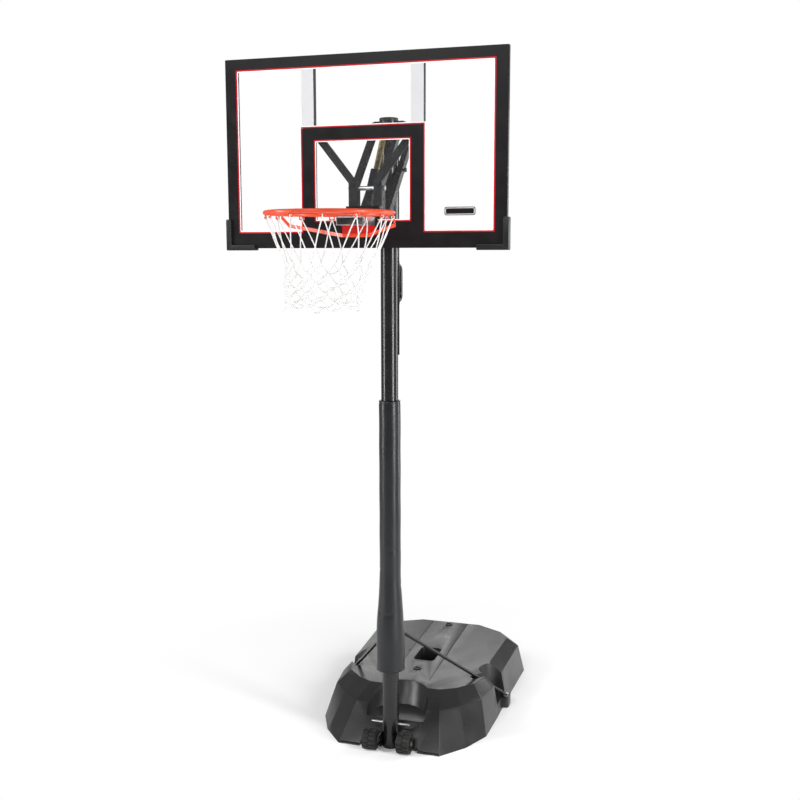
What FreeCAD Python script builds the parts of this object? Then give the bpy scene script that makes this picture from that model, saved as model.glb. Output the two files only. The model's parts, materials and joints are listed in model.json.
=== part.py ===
import FreeCAD, Part
import math
import os

# Portable basketball hoop at its lowest setting, in millimetres, +Z up.
# Origin: the ground under the pole's axis. +X is right as the player sees it,
# the ring stands out towards -Y and the ballast base reaches back along +Y.

V = FreeCAD.Vector

# ---------------------------------------------------------------- driving sizes
# clearances
RUNNING_GAP = 0.06          # radial play of a pivot on its bolt
SIDE_GAP = 1.5              # play beside a moving piece
SEAT_GAP = 0.3              # play of a piece that slips over another

# pole
POLE_RADIUS = 38.1
POLE_WALL = 2.0
POLE_TOP = 2852.0
LOWER_JOINT = 945.0
UPPER_JOINT = 1878.0
SWAGE_LENGTH = 90.0
FOOT_LIP = 6.0
CAP_THICK = 14.0
CAP_LIP = 3.0
SCREW_RADIUS = 4.0
SCREW_HEAD = 4.0

# lift linkage: two parallel pairs of arms between the pole and the board
ARM_PIVOT_UPPER = 2840.0    # height of the upper pivot on the pole
ARM_PIVOT_GAP = 195.0       # height between upper and lower pivots
ARM_REACH = 300.0           # from the pole's axis forward to the board's pivots
ARM_DROP = 288.0            # board pivots below the pole pivots when lowest
ARM_WIDTH = 25.4
ARM_DEPTH = 26.0
LOWER_ARM_DEPTH = 32.0
ARM_WALL = 1.8
PIVOT_BOLT_RADIUS = 6.0
TAIL_LENGTH = 140.0         # lower arms behind their pole pivot
HEAD_HEIGHT = 7.0
HEAD_RADIUS = 10.5
THREAD_END = 2.0

# assist strut: a rod with a coil spring that slides in a slotted channel
STRUT_TOP_FORWARD = 70.0
STRUT_TOP_HEIGHT = 2790.0
STRUT_FOOT_BELOW = 92.0     # strut's board pivot below the board's upper pivot
ROD_RADIUS = 6.0
ROD_FREE_END = 84.2         # rod's end above the strut's foot pivot, when lowest
EYE_RADIUS = 12.0
SPRING_RADIUS = 13.0
SPRING_BORE = 9.0
SPRING_START = 18.0
SPRING_LENGTH = 172.0
CHANNEL_WIDTH = 31.0
CHANNEL_DEPTH = 46.0
CHANNEL_WALL = 2.0
CHANNEL_LENGTH = 200.0
CHANNEL_TAIL = 14.0
SLOT_COUNT = 6

# lift bar with its D-handle behind the pole
BAR_WIDTH = 30.0
BAR_THICK = 6.0
BAR_FOOT = 1831.0
HANDLE_LOW = 2068.0
HANDLE_HIGH = 2240.0
HANDLE_REACH = 78.0
HANDLE_RADIUS = 9.0
TRIGGER_THICK = 7.0

# backboard
BOARD_WIDTH = 1187.0
BOARD_HEIGHT = 768.0
BOARD_BOTTOM = 2310.0
PANEL_THICK = 5.0
FRAME_DEPTH = 25.0
SIDE_BAR = 48.0
TOP_BAR = 44.0
BOTTOM_BAR = 62.0
BAR_WALL = 1.6
REAR_CHANNEL_INNER = 205.0
REAR_CHANNEL_WIDTH = 52.0
PLATE_THICK = 3.0
BRACE_THICK = 6.0
BRACE_WIDTH = 32.0
BRACKET_FRONT = 28.0        # bracket web in front of the board's pivots
BRACKET_REAR = 20.0         # bracket flange behind the board's pivots
BRACKET_FOOT = 24.0         # bracket below the lower pivot
BRACKET_HEAD = 34.0         # bracket above the upper pivot
MOUNT_HALF_WIDTH = 66.0
MOUNT_TOP = 2478.0
GUARD_LEG = 120.0
GUARD_WALL = 9.0
GUARD_LIP = 14.0

# ring
RING_HEIGHT = 2438.4
RING_BORE_RADIUS = 228.6
RING_ROD_RADIUS = 8.0
RING_CENTRE_OUT = 381.0     # ring's centre in front of the board's face
HOOK_COUNT = 12
HOOK_CLEAR = 16.0           # room beside the bracket that is left without hooks
HOOK_RADIUS = 2.5
HOOK_DROP = 13.0
RIM_TILT = 15.0             # how far the ring breaks away downwards, in degrees
RIM_PIVOT_DROP = 30.0       # breakaway pivot below the ring bracket
RIM_PIVOT_OUT = 14.0        # and in front of its plate
RIM_SPRING_RADIUS = 6.0
RIM_SPRING_LENGTH = 34.0
BRACE_ANGLE = 19.0          # where the side strap leaves the ring, from +X
STRAP_HEIGHT = 14.0
STRAP_THICK = 4.0
STRAP_SINK = 3.0            # strap's upper edge inside the ring's wire, where it is welded
STRAP_BEND_INSET = 21.6     # bend inside the ring's centre line
STRAP_BEND_OUT = 132.0      # bend behind the ring's centre
STRAP_BEND_DROP = 42.0      # bend below the ring's underside
BRACKET_HALF_WIDTH = 57.0
RIM_BRACKET_HEIGHT = 32.0
COVER_HEIGHT = 44.0
COVER_LENGTH = 80.0
NET_LENGTH = 336.0
NET_INSET = 10.6            # top of the net inside the ring's bore
NET_FOOT_RADIUS = 140.0
NET_WALL = 3.0

# base tank
BASE_HEIGHT = 200.0
TANK_WALL = 4.0
SHELF_HEIGHT = 104.0
ALCOVE_HALF_WIDTH = 155.0
ALCOVE_DEPTH = 225.0
ALCOVE_SIDE_Y = 80.0
FENDER_FRONT = 25.0
RECESS_HALF_WIDTH = 55.0
RECESS_START = 570.0
RECESS_LENGTH = 180.0
NOTCH_START = 472.0
NOTCH_END = 640.0
NOTCH_INNER = 300.0
LEDGE_HEIGHT = 52.0
LUG_OUTER = 450.0           # lug that a strut's foot is bolted to
LUG_START = 558.0
LUG_END = 634.0
LUG_ROUND = 16.0
GROOVE_HALF_WIDTH = 20.0    # groove in the tank's top below each strut
GROOVE_DEPTH = 22.0
GROOVE_START = 380.0
GROOVE_END = 505.0
CAP_HOLE_RADIUS = 17.0
REAR_CAP_Y = 1120.0
FRONT_CAP_Y = 460.0
LINE_X = 100.0              # moulded lines along the top
LINE_DEPTH = 2.0

# wheels
WHEEL_RADIUS = 47.5
WHEEL_WIDTH = 60.0
WHEEL_X = 82.0
WHEEL_FORWARD = 54.0
AXLE_RADIUS = 6.0
WELL_GAP = 4.5
TREAD_DEPTH = 4.0
TREAD_COUNT = 14
LUG_THICK = 9.0
WHEEL_EAR_RADIUS = 16.0
WHEEL_EAR_SINK = 20.0       # how far an axle ear runs into the tank

# struts and small fittings of the stand
STRUT_RADIUS = 8.0
STRUT_TOP_X = 16.0
STRUT_TOP_Z = 556.0
STRUT_FOOT_X = 436.0
STRUT_FOOT_Y = 600.0
CROSS_ROD_HEIGHT = 111.0
CROSS_ROD_RADIUS = 5.0
CROSS_ROD_HALF = 92.0
PAD_THICK = 10.9
PAD_FOOT = 380.0
PAD_TOP = 1637.0
PAD_FLARE_THICK = 29.9
PAD_FLARE_TOP = 760.0
PAD_FLARE_FOOT = 600.0
PAD_WALL = 9.0

# ------------------------------------------------------- sizes that follow on
POLE_BORE = POLE_RADIUS - POLE_WALL
PIVOT_LOWER = ARM_PIVOT_UPPER - ARM_PIVOT_GAP
BOARD_PIVOT_UPPER = ARM_PIVOT_UPPER - ARM_DROP
BOARD_PIVOT_LOWER = PIVOT_LOWER - ARM_DROP
ARM_LENGTH = math.hypot(ARM_REACH, ARM_DROP)
ARM_X = POLE_RADIUS + SIDE_GAP * 2 + ARM_WIDTH / 2
TAIL_Y = TAIL_LENGTH * ARM_REACH / ARM_LENGTH
TAIL_Z = PIVOT_LOWER + TAIL_LENGTH * ARM_DROP / ARM_LENGTH
STRUT_FOOT_HEIGHT = BOARD_PIVOT_UPPER - STRUT_FOOT_BELOW
STRUT_LENGTH = math.hypot(ARM_REACH - STRUT_TOP_FORWARD, STRUT_TOP_HEIGHT - STRUT_FOOT_HEIGHT)
ROD_LENGTH = STRUT_LENGTH - ROD_FREE_END
BRACKET_WEB = -ARM_REACH - BRACKET_FRONT
FRAME_BACK = BRACKET_WEB - BRACE_THICK
PANEL_BACK = FRAME_BACK - FRAME_DEPTH
BOARD_FRONT = PANEL_THICK - PANEL_BACK      # front face, forward of the pole's axis
BOARD_TOP = BOARD_BOTTOM + BOARD_HEIGHT
RING_RADIUS = RING_BORE_RADIUS + RING_ROD_RADIUS
HOOK_GAP = 2 * math.degrees(math.asin((BRACKET_HALF_WIDTH + HOOK_CLEAR) / RING_RADIUS))
STRAP_BEND_X = RING_RADIUS - STRAP_BEND_INSET
NET_TOP_RADIUS = RING_BORE_RADIUS - NET_INSET
PAD_RADIUS = POLE_RADIUS + PAD_THICK
PAD_FLARE_RADIUS = POLE_RADIUS + PAD_FLARE_THICK
RING_Y = -BOARD_FRONT - RING_CENTRE_OUT
RING_UNDER = RING_HEIGHT - RING_ROD_RADIUS
PLATE_FRONT = -BOARD_FRONT - PLATE_THICK
RIM_BACK = PLATE_FRONT - SIDE_GAP
COVER_TOP = RING_UNDER - RIM_BRACKET_HEIGHT
RIM_PIVOT_Y = PLATE_FRONT - RIM_PIVOT_OUT
RIM_PIVOT_Z = COVER_TOP - RIM_PIVOT_DROP


# ------------------------------------------------------------------- helpers
def box(x0, x1, y0, y1, z0, z1):
    """A block between two corners."""
    return Part.makeBox(x1 - x0, y1 - y0, z1 - z0, V(x0, y0, z0))


def rod_x(y, z, x0, x1, radius):
    """A round bar along X."""
    return Part.makeCylinder(radius, x1 - x0, V(x0, y, z), V(1, 0, 0))


def rod_y(x, z, y0, y1, radius):
    """A round bar along Y."""
    return Part.makeCylinder(radius, y1 - y0, V(x, y0, z), V(0, 1, 0))


def rod_z(x, y, z0, z1, radius):
    """A round bar along Z."""
    return Part.makeCylinder(radius, z1 - z0, V(x, y, z0), V(0, 0, 1))


def rod_between(start, end, radius):
    """A round bar between two points."""
    return Part.makeCylinder(radius, (end - start).Length, start, end - start)


def mirrored(shape):
    """The same piece on the other side of the hoop."""
    return shape.mirror(V(0, 0, 0), V(1, 0, 0))


def pair(shape):
    """A piece and its mirror image as two separate solids."""
    return Part.makeCompound([shape, mirrored(shape)])


def rounded(shape, radius, direction):
    """The straight edges that run along one direction, rounded."""
    straight = [e for e in shape.Edges if e.Curve.TypeId == "Part::GeomLine"]
    along = [e for e in straight if abs(e.tangentAt(e.FirstParameter).dot(direction)) > 0.999]
    return shape.makeFillet(radius, along)


def prism(points, direction):
    """A flat outline, pushed along a direction."""
    return Part.Face(Part.makePolygon(points + points[:1])).extrude(direction)


def hex_x(y, z, x0, x1, radius):
    """A hexagon head along X."""
    corners = [V(x0, y + radius * math.cos(math.radians(a)), z + radius * math.sin(math.radians(a)))
               for a in range(0, 360, 60)]
    return prism(corners, V(x1 - x0, 0, 0))


def bolt_x(y, z, half_length, radius):
    """A bolt across the hoop, its head on the right and its nut on the left."""
    shank = rod_x(y, z, -half_length - THREAD_END, half_length, radius)
    head = hex_x(y, z, half_length - HEAD_HEIGHT, half_length, HEAD_RADIUS)
    nut = hex_x(y, z, -half_length, -half_length + HEAD_HEIGHT, HEAD_RADIUS)
    return shank.fuse(head).fuse(nut)


def link(start, end, radius, x0, x1):
    """A bar with round ends between two (y, z) points, from x0 to x1."""
    length = math.hypot(end[0] - start[0], end[1] - start[1])
    uy = (end[0] - start[0]) / length
    uz = (end[1] - start[1]) / length

    def at(point, along, across):
        return V(x0, point[0] + uy * along - uz * across, point[1] + uz * along + uy * across)

    edges = [Part.LineSegment(at(start, 0, radius), at(end, 0, radius)).toShape(),
             Part.Arc(at(end, 0, radius), at(end, radius, 0), at(end, 0, -radius)).toShape(),
             Part.LineSegment(at(end, 0, -radius), at(start, 0, -radius)).toShape(),
             Part.Arc(at(start, 0, -radius), at(start, -radius, 0), at(start, 0, radius)).toShape()]
    return Part.Face(Part.Wire(edges)).extrude(V(x1 - x0, 0, 0))


def arm(start, end, depth, holes):
    """A hollow right-hand arm with round ends and its pivot holes."""
    x0 = ARM_X - ARM_WIDTH / 2
    x1 = ARM_X + ARM_WIDTH / 2
    shape = link(start, end, depth / 2, x0, x1)
    shape = shape.cut(link(start, end, depth / 2 - ARM_WALL, x0 + ARM_WALL, x1 - ARM_WALL))
    for y, z in holes:
        shape = shape.cut(rod_x(y, z, x0 - 1, x1 + 1, PIVOT_BOLT_RADIUS + RUNNING_GAP))
    return shape


def flat_bar(start, end):
    """A thin upright strap along a line, centred on it, with a rounded end at its start."""
    across = V(start.y - end.y, end.x - start.x, 0)
    across.normalize()
    across = across * (STRAP_THICK / 2)
    rise = V(0, 0, STRAP_HEIGHT)
    corners = [start - across, end - across, end - across + rise, start - across + rise]
    knuckle = rod_z(start.x, start.y, start.z, start.z + STRAP_HEIGHT, STRAP_THICK / 2)
    return prism(corners, across * 2).fuse(knuckle)


def hollow_bar(x0, x1, y0, y1, z0, z1):
    """A closed rectangular tube."""
    wall = BAR_WALL
    return box(x0, x1, y0, y1, z0, z1).cut(
        box(x0 + wall, x1 - wall, y0 + wall, y1 - wall, z0 + wall, z1 - wall))


def save(name, shape):
    """Write one piece."""
    shape.exportStep("parts/" + name + ".step")


# ----------------------------------------------------------------- base tank
# Right-hand half outlines, front to back, at the ground, the shoulder and the top.
SHOULDER_HEIGHT = 150.0
GROUND_OUTLINE = [(245, -45), (345, 75), (410, 215), (420, 430),
                  (424, 680), (440, 1070), (370, 1172), (215, 1250)]
SHOULDER_OUTLINE = [(205, 110), (292, 190), (372, 285), (392, 440),
                    (398, 690), (410, 1040), (345, 1130), (195, 1205)]
TOP_OUTLINE = [(178, 235), (248, 275), (318, 350), (348, 450),
               (335, 670), (353, 1005), (300, 1085), (165, 1160)]


def inset_outline(half, distance):
    """The whole outline of a half, with every side moved inwards."""
    points = half + [(-x, y) for x, y in reversed(half)]
    moved = []
    for i in range(len(points)):
        ax, ay = points[i - 1]
        bx, by = points[i]
        cx, cy = points[(i + 1) % len(points)]
        first = math.hypot(bx - ax, by - ay)
        second = math.hypot(cx - bx, cy - by)
        n1 = (-(by - ay) / first, (bx - ax) / first)
        n2 = (-(cy - by) / second, (cx - bx) / second)
        scale = distance / (1 + n1[0] * n2[0] + n1[1] * n2[1])
        moved.append((bx + (n1[0] + n2[0]) * scale, by + (n1[1] + n2[1]) * scale))
    return moved


def level(half, distance, z):
    """An outline as a closed wire at one height."""
    points = [V(x, y, z) for x, y in inset_outline(half, distance)]
    return Part.makePolygon(points + points[:1])


def alcove_wire(half_width, depth, z):
    """The alcove's plan: straight sides in front, half an ellipse behind."""
    front = -200.0
    centre = V(0, ALCOVE_SIDE_Y, z)
    if depth > half_width:
        ellipse = Part.Ellipse(centre + V(0, depth, 0), centre + V(half_width, 0, 0), centre)
        arc = Part.ArcOfEllipse(ellipse, -math.pi / 2, math.pi / 2).toShape()
    else:
        arc = Part.Arc(centre + V(half_width, 0, 0), centre + V(0, depth, 0),
                       centre + V(-half_width, 0, 0)).toShape()
    start = arc.Vertexes[0].Point
    end = arc.Vertexes[-1].Point
    a = V(end.x, front, z)
    b = V(start.x, front, z)
    edges = [arc, Part.makeLine(end, a), Part.makeLine(a, b), Part.makeLine(b, start)]
    return Part.Wire(edges)


def strut_ends():
    """The right strut's top and foot points."""
    top = V(STRUT_TOP_X, POLE_RADIUS + STRUT_RADIUS + SIDE_GAP, STRUT_TOP_Z)
    foot = V(STRUT_FOOT_X - 22, STRUT_FOOT_Y - 26, LEDGE_HEIGHT + 24)
    return top, foot


def strut_groove(inset):
    """The groove below the right strut, open upwards, grown by a distance."""
    top, foot = strut_ends()
    way = foot - top
    start = top + way * ((GROOVE_START - top.y) / way.y) - V(0, 0, GROOVE_DEPTH + inset)
    end = top + way * ((GROOVE_END - top.y) / way.y) - V(0, 0, GROOVE_DEPTH + inset)
    across = V(-way.y, way.x, 0)
    across.normalize()
    across = across * (GROOVE_HALF_WIDTH + inset)
    rise = V(0, 0, BASE_HEIGHT)
    return prism([start - across, end - across, end - across + rise, start - across + rise], across * 2)


def tank_form(inset):
    """The tank's moulded form, with every wall moved inwards by a distance."""
    top = BASE_HEIGHT - inset
    form = Part.makeLoft([level(GROUND_OUTLINE, inset, inset),
                          level(SHOULDER_OUTLINE, inset, SHOULDER_HEIGHT),
                          level(TOP_OUTLINE, inset, top)], True, True)
    lug = box(NOTCH_INNER, LUG_OUTER - inset, LUG_START + inset, LUG_END - inset, inset, LEDGE_HEIGHT - inset)
    lug = rounded(lug, LUG_ROUND - inset, V(0, 0, 1))
    form = form.fuse(lug).fuse(mirrored(lug))
    groove = strut_groove(inset)
    form = form.cut(groove).cut(mirrored(groove))
    # the alcove round the pole, with a sloping back above its shelf
    lower = alcove_wire(ALCOVE_HALF_WIDTH - 15 + inset, ALCOVE_DEPTH - 70 + inset, SHELF_HEIGHT - inset)
    upper = alcove_wire(ALCOVE_HALF_WIDTH + inset, ALCOVE_DEPTH + inset, BASE_HEIGHT + 1)
    form = form.cut(Part.makeLoft([lower, upper], True, True))
    form = form.cut(box(-ALCOVE_HALF_WIDTH + 15 - inset, ALCOVE_HALF_WIDTH - 15 + inset,
                        -200, -FENDER_FRONT + inset, -1, BASE_HEIGHT))
    # the pole stands in a slot of the shelf
    slot = POLE_RADIUS + SIDE_GAP + inset
    form = form.cut(rod_z(0, 0, -1, BASE_HEIGHT, slot))
    form = form.cut(box(-slot, slot, -200, 0, -1, BASE_HEIGHT))
    # wheel wells, open to the front
    for side in (-1, 1):
        reach = WHEEL_WIDTH / 2 + WELL_GAP + inset
        form = form.cut(rod_x(-WHEEL_FORWARD, WHEEL_RADIUS, side * WHEEL_X - reach, side * WHEEL_X + reach,
                              WHEEL_RADIUS + WELL_GAP + inset))
        form = form.cut(box(side * WHEEL_X - reach, side * WHEEL_X + reach, -WHEEL_FORWARD,
                            WELL_GAP + inset - WHEEL_FORWARD + WHEEL_RADIUS, -1, WHEEL_RADIUS))
        # notch over the ledge that a strut is bolted to
        width = (NOTCH_END - NOTCH_START) / 2 + inset
        middle = (NOTCH_START + NOTCH_END) / 2
        centre = NOTCH_INNER + (NOTCH_END - NOTCH_START) / 2
        form = form.cut(rod_z(side * centre, middle, LEDGE_HEIGHT - inset, BASE_HEIGHT + 1, width))
        outer = side * (LUG_OUTER + 50)
        form = form.cut(box(min(side * centre, outer), max(side * centre, outer),
                            middle - width, middle + width, LEDGE_HEIGHT - inset, BASE_HEIGHT + 1))
    # hand recess right through the middle
    recess = box(-RECESS_HALF_WIDTH - inset, RECESS_HALF_WIDTH + inset, RECESS_START - inset,
                 RECESS_START + RECESS_LENGTH + inset, -1, BASE_HEIGHT + 1)
    return form.cut(rounded(recess, 22 + inset, V(0, 0, 1)))


def make_tank():
    """The hollow tank with its filler holes, moulded lines and wheel lugs."""
    tank = tank_form(0).cut(tank_form(TANK_WALL))
    for y in (FRONT_CAP_Y, REAR_CAP_Y):
        tank = tank.cut(rod_z(0, y, BASE_HEIGHT - TANK_WALL - 1, BASE_HEIGHT + 1, CAP_HOLE_RADIUS))
    for side in (-1, 1):
        line = box(side * LINE_X - 2, side * LINE_X + 2, 325, 1180, BASE_HEIGHT - LINE_DEPTH, BASE_HEIGHT + 1)
        tank = tank.cut(line)
    # ears that hold the wheel axles
    outer = WHEEL_X - WHEEL_WIDTH / 2 - SIDE_GAP
    ear = link((-WHEEL_FORWARD, WHEEL_RADIUS), (-FENDER_FRONT + WHEEL_EAR_SINK, WHEEL_RADIUS),
               WHEEL_EAR_RADIUS, outer - LUG_THICK, outer)
    ear = ear.cut(rod_z(0, 0, 0, BASE_HEIGHT, POLE_RADIUS + SIDE_GAP))
    tank = tank.fuse(ear).fuse(mirrored(ear))
    tank = tank.cut(rod_x(-WHEEL_FORWARD, WHEEL_RADIUS, -WHEEL_X, WHEEL_X, AXLE_RADIUS + RUNNING_GAP))
    # bolt holes of the strut feet
    hole = rod_z(STRUT_FOOT_X, STRUT_FOOT_Y, LEDGE_HEIGHT - TANK_WALL - 1, LEDGE_HEIGHT + 1,
                 SCREW_RADIUS + RUNNING_GAP)
    return tank.cut(hole).cut(mirrored(hole))


def filler_cap(y):
    """A round plug with a flange and a coin bar."""
    stem = rod_z(0, y, BASE_HEIGHT - TANK_WALL - 8, BASE_HEIGHT, CAP_HOLE_RADIUS - SEAT_GAP * 2)
    stem = stem.cut(rod_z(0, y, BASE_HEIGHT - TANK_WALL - 9, BASE_HEIGHT - 2, CAP_HOLE_RADIUS - 4))
    flange = rod_z(0, y, BASE_HEIGHT + 0.2, BASE_HEIGHT + 4, CAP_HOLE_RADIUS + 3)
    grip = box(-12, 12, y - 2, y + 2, BASE_HEIGHT + 3, BASE_HEIGHT + 8)
    neck = rod_z(0, y, BASE_HEIGHT - 1, BASE_HEIGHT + 1, CAP_HOLE_RADIUS - 2)
    return stem.fuse(neck).fuse(flange).fuse(grip)


def make_base():
    """The tank, its water, its caps."""
    tank = make_tank()
    save("base_tank", tank)
    fill = tank_form(TANK_WALL + SEAT_GAP).cut(tank)
    air_gap = 20.0
    fill = fill.cut(box(-600, 600, -200, 1400, BASE_HEIGHT - TANK_WALL - air_gap, BASE_HEIGHT))
    save("ballast_fill", fill)
    save("rear_filler_cap", filler_cap(REAR_CAP_Y))
    save("front_filler_cap", filler_cap(FRONT_CAP_Y))


# -------------------------------------------------------------------- wheels
def make_wheels():
    """A wheel with two staggered rows of tread blocks, and the stub axles."""
    x0 = WHEEL_X - WHEEL_WIDTH / 2
    x1 = WHEEL_X + WHEEL_WIDTH / 2
    wheel = rod_x(-WHEEL_FORWARD, WHEEL_RADIUS, x0, x1, WHEEL_RADIUS - TREAD_DEPTH)
    half = WHEEL_WIDTH / 2 - 2
    blocks = []
    for row in (0, 1):
        start = x0 + row * (WHEEL_WIDTH / 2 + 2)
        ring = rod_x(-WHEEL_FORWARD, WHEEL_RADIUS, start, start + half, WHEEL_RADIUS)
        core = WHEEL_RADIUS - TREAD_DEPTH - 1
        ring = ring.cut(rod_x(-WHEEL_FORWARD, WHEEL_RADIUS, start, start + half, core))
        for i in range(TREAD_COUNT):
            gap = box(start - 1, start + half + 1, -3, 3, WHEEL_RADIUS - TREAD_DEPTH, WHEEL_RADIUS + 5)
            gap.rotate(V(0, 0, 0), V(1, 0, 0), (i + row / 2) * 360.0 / TREAD_COUNT)
            gap.translate(V(0, -WHEEL_FORWARD, WHEEL_RADIUS))
            ring = ring.cut(gap)
        blocks.append(ring)
    wheel = wheel.fuse(blocks[0]).fuse(blocks[1])
    hub_recess = 9.0
    recess = rod_x(-WHEEL_FORWARD, WHEEL_RADIUS, x1 - hub_recess, x1 + 1, 30)
    recess = recess.cut(rod_x(-WHEEL_FORWARD, WHEEL_RADIUS, x1 - hub_recess - 1, x1 + 1, 13))
    wheel = wheel.cut(recess)
    wheel = wheel.cut(rod_x(-WHEEL_FORWARD, WHEEL_RADIUS, x0 - 1, x1 + 1, AXLE_RADIUS + RUNNING_GAP))
    save("wheel_right", wheel)
    save("wheel_left", mirrored(wheel))
    inner = x0 - SIDE_GAP - LUG_THICK
    stub = rod_x(-WHEEL_FORWARD, WHEEL_RADIUS, inner, x1 + SIDE_GAP, AXLE_RADIUS)
    stub = stub.fuse(rod_x(-WHEEL_FORWARD, WHEEL_RADIUS, x1 + SIDE_GAP, x1 + SIDE_GAP + 3, AXLE_RADIUS + 5))
    save("wheel_axles", pair(stub))


# ---------------------------------------------------------------------- pole
def pole_section(foot, top, swaged):
    """A length of pole, its upper end necked to slip into the next one."""
    section = rod_z(0, 0, foot, top, POLE_RADIUS)
    bore = rod_z(0, 0, foot - 1, top + 1, POLE_BORE)
    if swaged:
        neck = POLE_BORE - SEAT_GAP
        section = section.fuse(rod_z(0, 0, top, top + SWAGE_LENGTH, neck))
        bore = rod_z(0, 0, foot - 1, top - 6, POLE_BORE)
        bore = bore.fuse(rod_z(0, 0, foot - 1, top + SWAGE_LENGTH + 1, neck - POLE_WALL))
    return section.cut(bore)


def make_pole():
    """Three sections, the foot plug, the top cap and the joint screws."""
    lower = pole_section(FOOT_LIP, LOWER_JOINT, True)
    lower = lower.cut(rod_x(0, CROSS_ROD_HEIGHT, -60, 60, CROSS_ROD_RADIUS + RUNNING_GAP))
    lower = lower.cut(rod_y(0, STRUT_TOP_Z, -60, 60, SCREW_RADIUS + RUNNING_GAP))
    save("pole_bottom_section", lower)
    middle = pole_section(LOWER_JOINT, UPPER_JOINT, True)
    screw_z = UPPER_JOINT + SWAGE_LENGTH / 2
    middle = middle.cut(rod_y(0, screw_z, -60, 60, SCREW_RADIUS + RUNNING_GAP))
    save("pole_middle_section", middle)
    upper = pole_section(UPPER_JOINT, POLE_TOP, False)
    upper = upper.cut(rod_y(0, screw_z, -60, 60, SCREW_RADIUS + RUNNING_GAP))
    for z in (ARM_PIVOT_UPPER, PIVOT_LOWER):
        upper = upper.cut(rod_x(0, z, -60, 60, PIVOT_BOLT_RADIUS + RUNNING_GAP))
    save("pole_top_section", upper)
    plug = rod_z(0, 0, 0, FOOT_LIP, POLE_RADIUS)
    plug = plug.fuse(rod_z(0, 0, 0, 40, POLE_BORE - SEAT_GAP).cut(rod_z(0, 0, 10, 41, POLE_BORE - 4)))
    save("pole_foot_plug", plug)
    cap = rod_z(0, 0, POLE_TOP, POLE_TOP + CAP_THICK, POLE_RADIUS + CAP_LIP)
    rim_edge = [e for e in cap.Edges if e.Closed and e.CenterOfMass.z > POLE_TOP + CAP_THICK - 1]
    cap = cap.makeFillet(5, rim_edge)
    skirt = rod_z(0, 0, POLE_TOP - 32, POLE_TOP, POLE_BORE - SEAT_GAP)
    skirt = skirt.cut(rod_z(0, 0, POLE_TOP - 33, POLE_TOP - 1, POLE_BORE - 4))
    skirt = skirt.cut(rod_x(0, ARM_PIVOT_UPPER, -60, 60, PIVOT_BOLT_RADIUS + 1))
    save("pole_top_cap", cap.fuse(skirt))
    screw = rod_y(0, screw_z, POLE_RADIUS, POLE_RADIUS + SCREW_HEAD, SCREW_RADIUS * 2)
    screw = screw.fuse(rod_y(0, screw_z, POLE_BORE - POLE_WALL - 6, POLE_RADIUS, SCREW_RADIUS))
    rear = screw.copy()
    rear.rotate(V(0, 0, 0), V(0, 0, 1), 180)
    save("pole_joint_screws", Part.makeCompound([screw, rear]))


def make_strut():
    """The right strut: a round tube with a flat foot that is bolted to the ledge."""
    top, foot = strut_ends()
    strut = rod_between(top, foot, STRUT_RADIUS)
    ear_half = 11.0
    flat = box(STRUT_FOOT_X - ear_half * 3, STRUT_FOOT_X + ear_half,
               STRUT_FOOT_Y - 36, STRUT_FOOT_Y + ear_half, LEDGE_HEIGHT, LEDGE_HEIGHT + 5)
    flat = rounded(flat, 9, V(0, 0, 1))
    toe = rod_between(foot, V(STRUT_FOOT_X - 16, STRUT_FOOT_Y - 19, LEDGE_HEIGHT + 8), STRUT_RADIUS)
    toe = toe.common(box(0, 600, 0, 1000, LEDGE_HEIGHT, 600))
    head = rod_y(12, STRUT_TOP_Z, POLE_RADIUS + SIDE_GAP, POLE_RADIUS + SIDE_GAP + 16, 12)
    head = head.common(box(1, 60, 0, 100, 0, STRUT_TOP_Z + 40))
    strut = strut.fuse(head).fuse(flat).fuse(toe)
    strut = strut.cut(rod_y(0, STRUT_TOP_Z, -60, 100, SCREW_RADIUS + RUNNING_GAP))
    return strut.cut(rod_z(STRUT_FOOT_X, STRUT_FOOT_Y, 0, LEDGE_HEIGHT + 20, SCREW_RADIUS + RUNNING_GAP))


def make_pad():
    """The pad: a sleeve round the pole that widens round the strut tops."""
    bore = POLE_RADIUS + SEAT_GAP
    sleeve = rod_z(0, 0, PAD_FLARE_TOP, PAD_TOP, PAD_RADIUS)
    flare = PAD_FLARE_TOP - PAD_FLARE_FOOT
    cone = Part.makeCone(PAD_FLARE_RADIUS, PAD_RADIUS, flare, V(0, 0, PAD_FLARE_FOOT))
    skirt = rod_z(0, 0, PAD_FOOT, PAD_FLARE_FOOT, PAD_FLARE_RADIUS)
    pad = sleeve.fuse(cone).fuse(skirt)
    inner = PAD_FLARE_RADIUS - PAD_WALL
    pad = pad.cut(rod_z(0, 0, PAD_FOOT - 1, PAD_FLARE_FOOT, inner))
    pad = pad.cut(rod_z(0, 0, PAD_FOOT - 1, PAD_TOP + 1, bore))
    top, foot = strut_ends()
    passage = rod_between(top, foot, STRUT_RADIUS + 4)
    pad = pad.cut(passage).cut(mirrored(passage))
    slit = 12.0
    return pad.cut(box(-slit, slit, 0, 100, PAD_FOOT - 1, PAD_FLARE_FOOT))


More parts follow.
